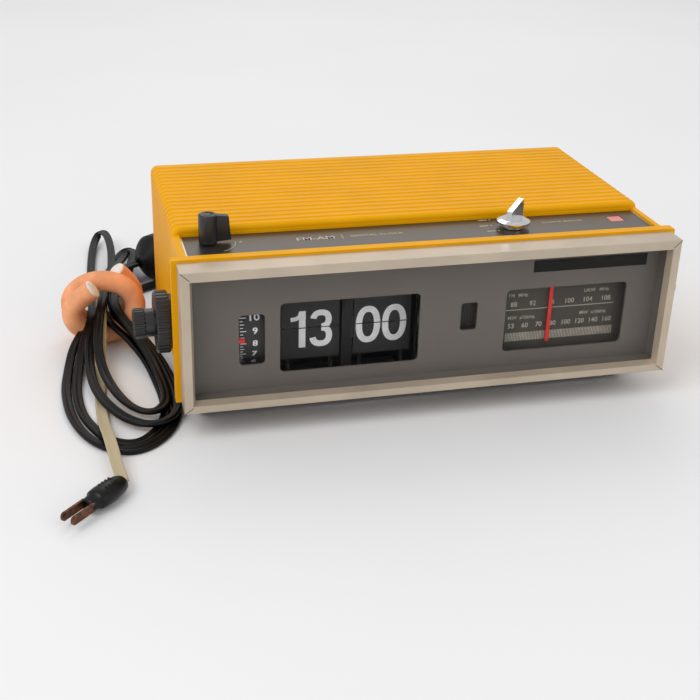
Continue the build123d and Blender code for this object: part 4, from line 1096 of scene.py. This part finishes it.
@dataclass
class TopPlate(Assembly):
    """The dark control plate with its printing, painted edge highlights at its ends, and indicator jewel.
    """

    surface: float = 103.82
    half: float = 142.0
    near: float = -66.8
    far: float = -33.1
    sleep_x: float = -127
    sleep_y: float = -45
    dots: int = 21
    dots_reach: float = 15.5
    dot_angle: float = 3.0

    def flat(self, x: float, y: float, turn: float = 0.0) -> Matrix:
        """A frame on the plate, its letters read from the front, turned by degrees."""
        return Matrix.Translation(mm(x, y, self.surface)) @ Matrix.Rotation(math.radians(turn), 4, "Z")

    def build(self) -> None:
        """Dresses the plate, prints it, and paints a highlight strip along each end."""
        self.dress(PLATE, "top_plate")
        self.dress(JEWEL, "indicator_jewel")
        ink = Printing()
        ink.word("FM-AM", 4.6 * MM, self.flat(-64.8, -47.6), 22.4 * MM, 0.01)
        ink.bar(0.4 * MM, 6.4 * MM, self.flat(-48.8, -47.4))
        ink.word("DIGITAL CLOCK", 2.8 * MM, self.flat(-27.7, -47.4), 32.2 * MM)
        for x, y in ((44.1, -34.9), (41.7, -44.7), (43.4, -53.8)):
            ink.bar(5.4 * MM, 1.1 * MM, self.flat(x - 2, y))
            ink.bar(1.1 * MM, 1.1 * MM, self.flat(x + 2.6, y))
        ink.word("CLOCK RADIO", 2.2 * MM, self.flat(90, -45), 26 * MM)
        for step in range(self.dots):
            angle = -self.dot_angle * step
            x, y = (self.dots_reach * f(math.radians(angle)) for f in (math.cos, math.sin))
            spot = self.flat(self.sleep_x + x, self.sleep_y + y, angle + 90)
            ink.bar(0.95 * MM, 0.45 * MM, spot)
        ink.bar(1.5 * MM, 1.5 * MM, self.flat(-108.4, -46))
        self.keep(ink.mesh(), "plate_printing", PALE_INK, "plate_dark")
        # Painted edge highlights: a thin strip of bright metal on the plate's top along each end,
        # standing in for the light its edges catch.
        edges = Printing(depth=0.3 * MM)
        for side in (-1, 1):
            place = self.flat(side * (self.half - 0.5), (self.near + self.far) / 2)
            edges.bar(0.9 * MM, (self.far - self.near) * MM, place)
        self.keep(edges.mesh(), "plate_end_highlights", EDGE_HIGHLIGHT, "plate_dark")


# ---------- clock and dial


@dataclass
class ClockDisplay(Assembly):
    """The printed leaves: white numerals split at the hinge, with the next ones behind and below."""

    face: float = -59.5
    back: float = -59.0
    hinge_y: float = -59.75
    hinge_z: float = 52.6
    gap: float = 0.3
    middle: float = 51.75
    ink_lift: float = 0.05
    next_face: float = -58.57
    card: Place = (35.2, 0.4, 19.1)
    card_y: float = -58.3
    card_rise: float = 9.6

    def numerals(self, text: str, places: tuple[float, float], y: float, above: bool) -> Printing:
        """Half of a printed pair of numerals.

        Args:
            text: the two figures.
            places: each one's middle across the clock, in millimetres.
            y: the face that they are printed on.
            above: whether this is their upper half.

        Returns:
            The ink.
        """
        ink = Printing()
        for figure, x in zip(text, places):
            ink.numeral(figure, frame_of(mm(x, y, self.middle), RIGHT, UP))
        edge = self.hinge_z + (self.gap if above else -self.gap)
        ink.cut(edge * MM, above)
        return ink

    def build(self) -> None:
        """Prints both leaves, and hangs the next leaf behind each."""
        self.dress(LEAF, "hour_upper_leaf", "minute_upper_leaf", "lower_leaves")
        self.dress(NYLON, "hour_wheel", "minute_wheel")
        hinge = mm(0, self.hinge_y, self.hinge_z)
        for unit, now, after, places, card_x in (
            ("hour", "13", "14", (-74.8, -63.4), -70), ("minute", "00", "01", (-34.7, -18.5), -26),
        ):
            shown = self.face - self.ink_lift
            upper = self.numerals(now, places, shown, True)
            self.keep(upper.mesh(), f"{unit}_upper_ink", WHITE_INK, "leaf_black", f"{unit}_leaf")
            lower = self.numerals(now, places, shown, False)
            self.keep(lower.mesh(), f"{unit}_lower_ink", WHITE_INK, "leaf_black")
            mirrored = 2 * self.hinge_y - self.back - self.ink_lift
            fallen = self.numerals(after, places, mirrored, False)
            fallen.turn(hinge)
            self.keep(fallen.mesh(), f"{unit}_next_lower_ink", WHITE_INK, "leaf_black", f"{unit}_leaf")
            card = Printing(depth=self.card[1] * MM)
            card_z = self.hinge_z + self.gap + self.card_rise
            place = frame_of(mm(card_x, self.card_y, card_z), RIGHT, UP)
            card.bar(self.card[0] * MM, self.card[2] * MM, place)
            self.keep(card.mesh(), f"{unit}_next_leaf", LEAF, "leaf_black")
            behind = self.numerals(after, places, self.next_face, True)
            self.keep(behind.mesh(), f"{unit}_next_upper_ink", WHITE_INK, "leaf_black")


@dataclass
class AlarmDrum(Assembly):
    """The alarm drum: a numeral for each hour and a tick for each quarter."""

    body: str = "alarm_set"
    axis_y: float = -42.5
    axis_z: float = 56.0
    radius: float = 30.03
    shown_hour: int = 8
    shown_angle: float = -8.5
    hour_angle: float = 15
    figure_x: float = -105
    figure_height: float = 3.9
    one_figure: float = 3.0
    two_figures: float = 5.9
    ticks: tuple[float, ...] = (3.6, 1.7, 2.4, 1.7)
    tick_x: float = -113.7
    tick_line: float = 0.45

    def spot(self, x: float, hour: float) -> Matrix:
        """The frame on the drum's rim at an hour.

        Args:
            x: its place along the drum, in millimetres.
            hour: the hour, with its quarters as a fraction.

        Returns:
            The frame.
        """
        turn = math.radians(self.shown_angle + self.hour_angle * (hour - self.shown_hour))
        out = Vector((0, -math.cos(turn), math.sin(turn)))
        origin = mm(x, self.axis_y, self.axis_z) + out * self.radius * MM
        return frame_of(origin, RIGHT, Vector((0, math.sin(turn), math.cos(turn))))

    def build(self) -> None:
        """Prints the drum and dresses the parts that turn with it."""
        self.dress(DRUM, "alarm_drum")
        self.dress(SIGNAL_RED, "alarm_pointer")
        self.dress(KNOB, "alarm_set_wheel")
        self.dress(STEEL, "alarm_sleeve")
        ink = Printing()
        for hour in range(1, 25):
            width = self.two_figures if hour > 9 else self.one_figure
            place = self.spot(self.figure_x, hour)
            ink.word(str(hour), self.figure_height * MM, place, width * MM, 0.02)
            for quarter, width in enumerate(self.ticks):
                tick = self.spot(self.tick_x + width / 2, hour + quarter / 4)
                ink.bar(width * MM, self.tick_line * MM, tick)
        self.keep(ink.mesh(), "alarm_printing", WHITE_INK, "drum_black")


@dataclass
class TuningDial(Assembly):
    """The tuning dial's scales, behind the needle."""

    face: float = -67.26
    fm: tuple[str, ...] = ("88", "92", "96", "100", "104", "108")
    medium_wave: tuple[str, ...] = ("53", "60", "70", "80", "100", "120", "140", "160")
    number_height: float = 3.2
    label_height: float = 2.3
    logging_ticks: int = 71
    logging_start: float = 50.7

    def at(self, x: float, z: float) -> Matrix:
        """A frame on the dial."""
        return frame_of(mm(x, self.face, z), RIGHT, UP)

    def row(self, ink: Printing, words: tuple[str, ...], first: float, last: float, z: float) -> None:
        """Prints a row of numbers.

        Args:
            ink: the ink that they go to.
            words: the numbers.
            first: where the first one's middle is across, in millimetres.
            last: where the last one's is.
            z: their height.
        """
        step = (last - first) / (len(words) - 1)
        for index, word in enumerate(words):
            ink.word(word, self.number_height * MM, self.at(first + step * index, z), 0, 0.015)

    def build(self) -> None:
        """Prints both bands and the logging scale, and dresses the needle."""
        self.dress(DIAL, "dial_scale")
        self.dress(SIGNAL_RED, "dial_needle")
        self.dress(WIRE, "needle_rail")
        self.dress(BULB, "lamps")
        ink = Printing()
        self.row(ink, self.fm, 54.3, 114.9, 60.7)
        ink.bar(70.4 * MM, 0.5 * MM, self.at(84.7, 57.0))
        self.row(ink, self.medium_wave, 53.5, 117.0, 46.4)
        for z, labels in (
            (66.6, (("FM", 52.4), ("MHz", 59.8), ("UKW", 103.4), ("MHz", 112.8))),
            (51.8, (("MW", 54.0), ("x10kHz", 63.6), ("MW", 101.0), ("x10kHz", 110.6))),
        ):
            for text, x in labels:
                ink.word(text, self.label_height * MM, self.at(x, z), 0, 0.01)
        for step in range(self.logging_ticks):
            ink.bar(0.62 * MM, 5.6 * MM, self.at(self.logging_start + step, 38.9))
        self.keep(ink.mesh(), "dial_printing", PALE_INK, "dial_black")


# ---------- controls and works


@dataclass
class Controls(Assembly):
    """Knobs, wheels and their shafts."""

    def build(self) -> None:
        """Dresses the knobs and spindles, and adds a thin dished rim on top of the sleep knob."""
        self.dress(KNOB, "sleep_knob", "time_set_knob", "tuning_wheel", "volume_knob")
        self.dress(CHROME, "selector_knob")
        self.dress(STEEL, "time_set_spindle", "tuning_sleeve", "volume_spindle")
        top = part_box("sleep_knob")[1].z / MM
        dish = [(0.06, 0.0), (0.06, 3.1), (0.5, 3.5), (0.5, 4.5), (0.0, 5.1), (-0.4, 5.2)]
        rim = turned(dish, mm(TopPlate.sleep_x, TopPlate.sleep_y, top), UP)
        self.keep(rim, "sleep_knob_rim", KNOB, "knob_black", "sleep_control")


@dataclass
class Works(Assembly):
    """Everything behind the mask: drives, radio and power parts."""

    def build(self) -> None:
        """Dresses the works."""
        self.dress(CLOCK_BLACK, "clock_frame", "centre_post")
        self.dress(ZINC, "shaft_brackets", "clock_motor")
        self.dress(ZINC, "sleep_timer", "selector_switch", "volume_control")
        self.dress(BRASS, "motor_pinion")
        self.dress(NYLON, "tuning_drum")
        self.dress(VANES, "tuning_gang")
        self.dress(CORE, "transformer_core")
        self.dress(WINDING, "transformer_winding")
        self.dress(BASKET, "speaker_basket")
        self.dress(PULP, "speaker_cone")
        self.dress(BOARD, "main_board")
        self.dress(PARTS, "board_parts")
        self.dress(FERRITE, "ferrite_aerial")


# ---------- studio


@dataclass(frozen=True)
class SoftBox:
    """A square studio light: where it stands, its side and its power."""

    name: str
    place: Place
    side: float
    power: float

    def hang(self, target: Vector) -> None:
        """Hangs the light so that it faces a point.

        Args:
            target: the point.
        """
        lamp = bpy.data.lights.new(self.name, "AREA")
        lamp.size, lamp.energy = self.side, self.power
        holder = linked(self.name, lamp)
        holder.location = self.place
        holder.rotation_euler = (target - Vector(self.place)).to_track_quat("-Z", "Y").to_euler()


@dataclass
class Studio:
    """Pale floor, soft light and the camera."""

    lens_mm: float = 61.6
    sensor_mm: float = 36.0
    eye: Place = (-0.2108, -0.6850, 0.3492)
    azimuth: float = -14.82
    elevation: float = 25.86
    roll: float = 1.73
    floor_side: float = 12.0
    sky: float = 0.66
    lit_point: Place = (-0.02, 0, 0.05)
    boxes: tuple[SoftBox, ...] = (
        SoftBox("key", (-1.1, -0.7, 1.5), 1.1, 13.0),
        SoftBox("fill", (1.3, -1.2, 1.0), 1.4, 4.0),
        SoftBox("rear", (0.3, 1.3, 1.4), 1.2, 6.0),
    )

    def floor(self) -> None:
        """Lays the floor."""
        shape = bmesh.new()
        bmesh.ops.create_grid(shape, x_segments=2, y_segments=2, size=self.floor_side / 2)
        mesh = as_mesh(shape)
        mesh.materials.append(FLOOR.material())
        linked("floor", mesh)

    def light(self) -> None:
        """Sets the even sky and hangs the soft boxes."""
        scene = bpy.context.scene
        scene.world = scene.world or bpy.data.worlds.new("studio")
        scene.world.use_nodes = True
        sky = scene.world.node_tree.nodes["Background"]
        sky.inputs["Color"].default_value = (1, 1, 1, 1)
        sky.inputs["Strength"].default_value = self.sky
        for box in self.boxes:
            box.hang(Vector(self.lit_point))
        scene.view_settings.view_transform = "Standard"

    def camera(self) -> None:
        """Stands the camera and makes it the scene's."""
        side, rise, roll = (math.radians(a) for a in (self.azimuth, self.elevation, self.roll))
        back = Vector((math.sin(side) * math.cos(rise), -math.cos(side) * math.cos(rise), math.sin(rise)))
        level = UP.cross(back).normalized()
        over = back.cross(level)
        across = math.cos(roll) * level + math.sin(roll) * over
        upward = math.cos(roll) * over - math.sin(roll) * level
        view = bpy.data.cameras.new("camera")
        view.lens, view.sensor_width = self.lens_mm, self.sensor_mm
        view.clip_start, view.clip_end = 0.01, 50
        holder = linked("camera", view)
        axes = Matrix((across, upward, back)).transposed().to_4x4()
        holder.matrix_world = Matrix.Translation(self.eye) @ axes
        bpy.context.scene.camera = holder

    def build(self) -> None:
        """Sets up the whole studio."""
        self.floor()
        self.light()
        self.camera()


def main() -> None:
    """Builds the radio's looks in order, then the studio."""
    logging.basicConfig(level=logging.INFO, format="%(name)s: %(message)s")
    for assembly in (
        Case(), TopPlate(), ClockDisplay(), AlarmDrum(), TuningDial(), Controls(), Works(),
        MainsLead(), AerialLead(), BundleTie(),
    ):
        LOG.info("building %s", type(assembly).__name__)
        assembly.build()
    Studio().build()


if __name__ == "__main__":
    main()
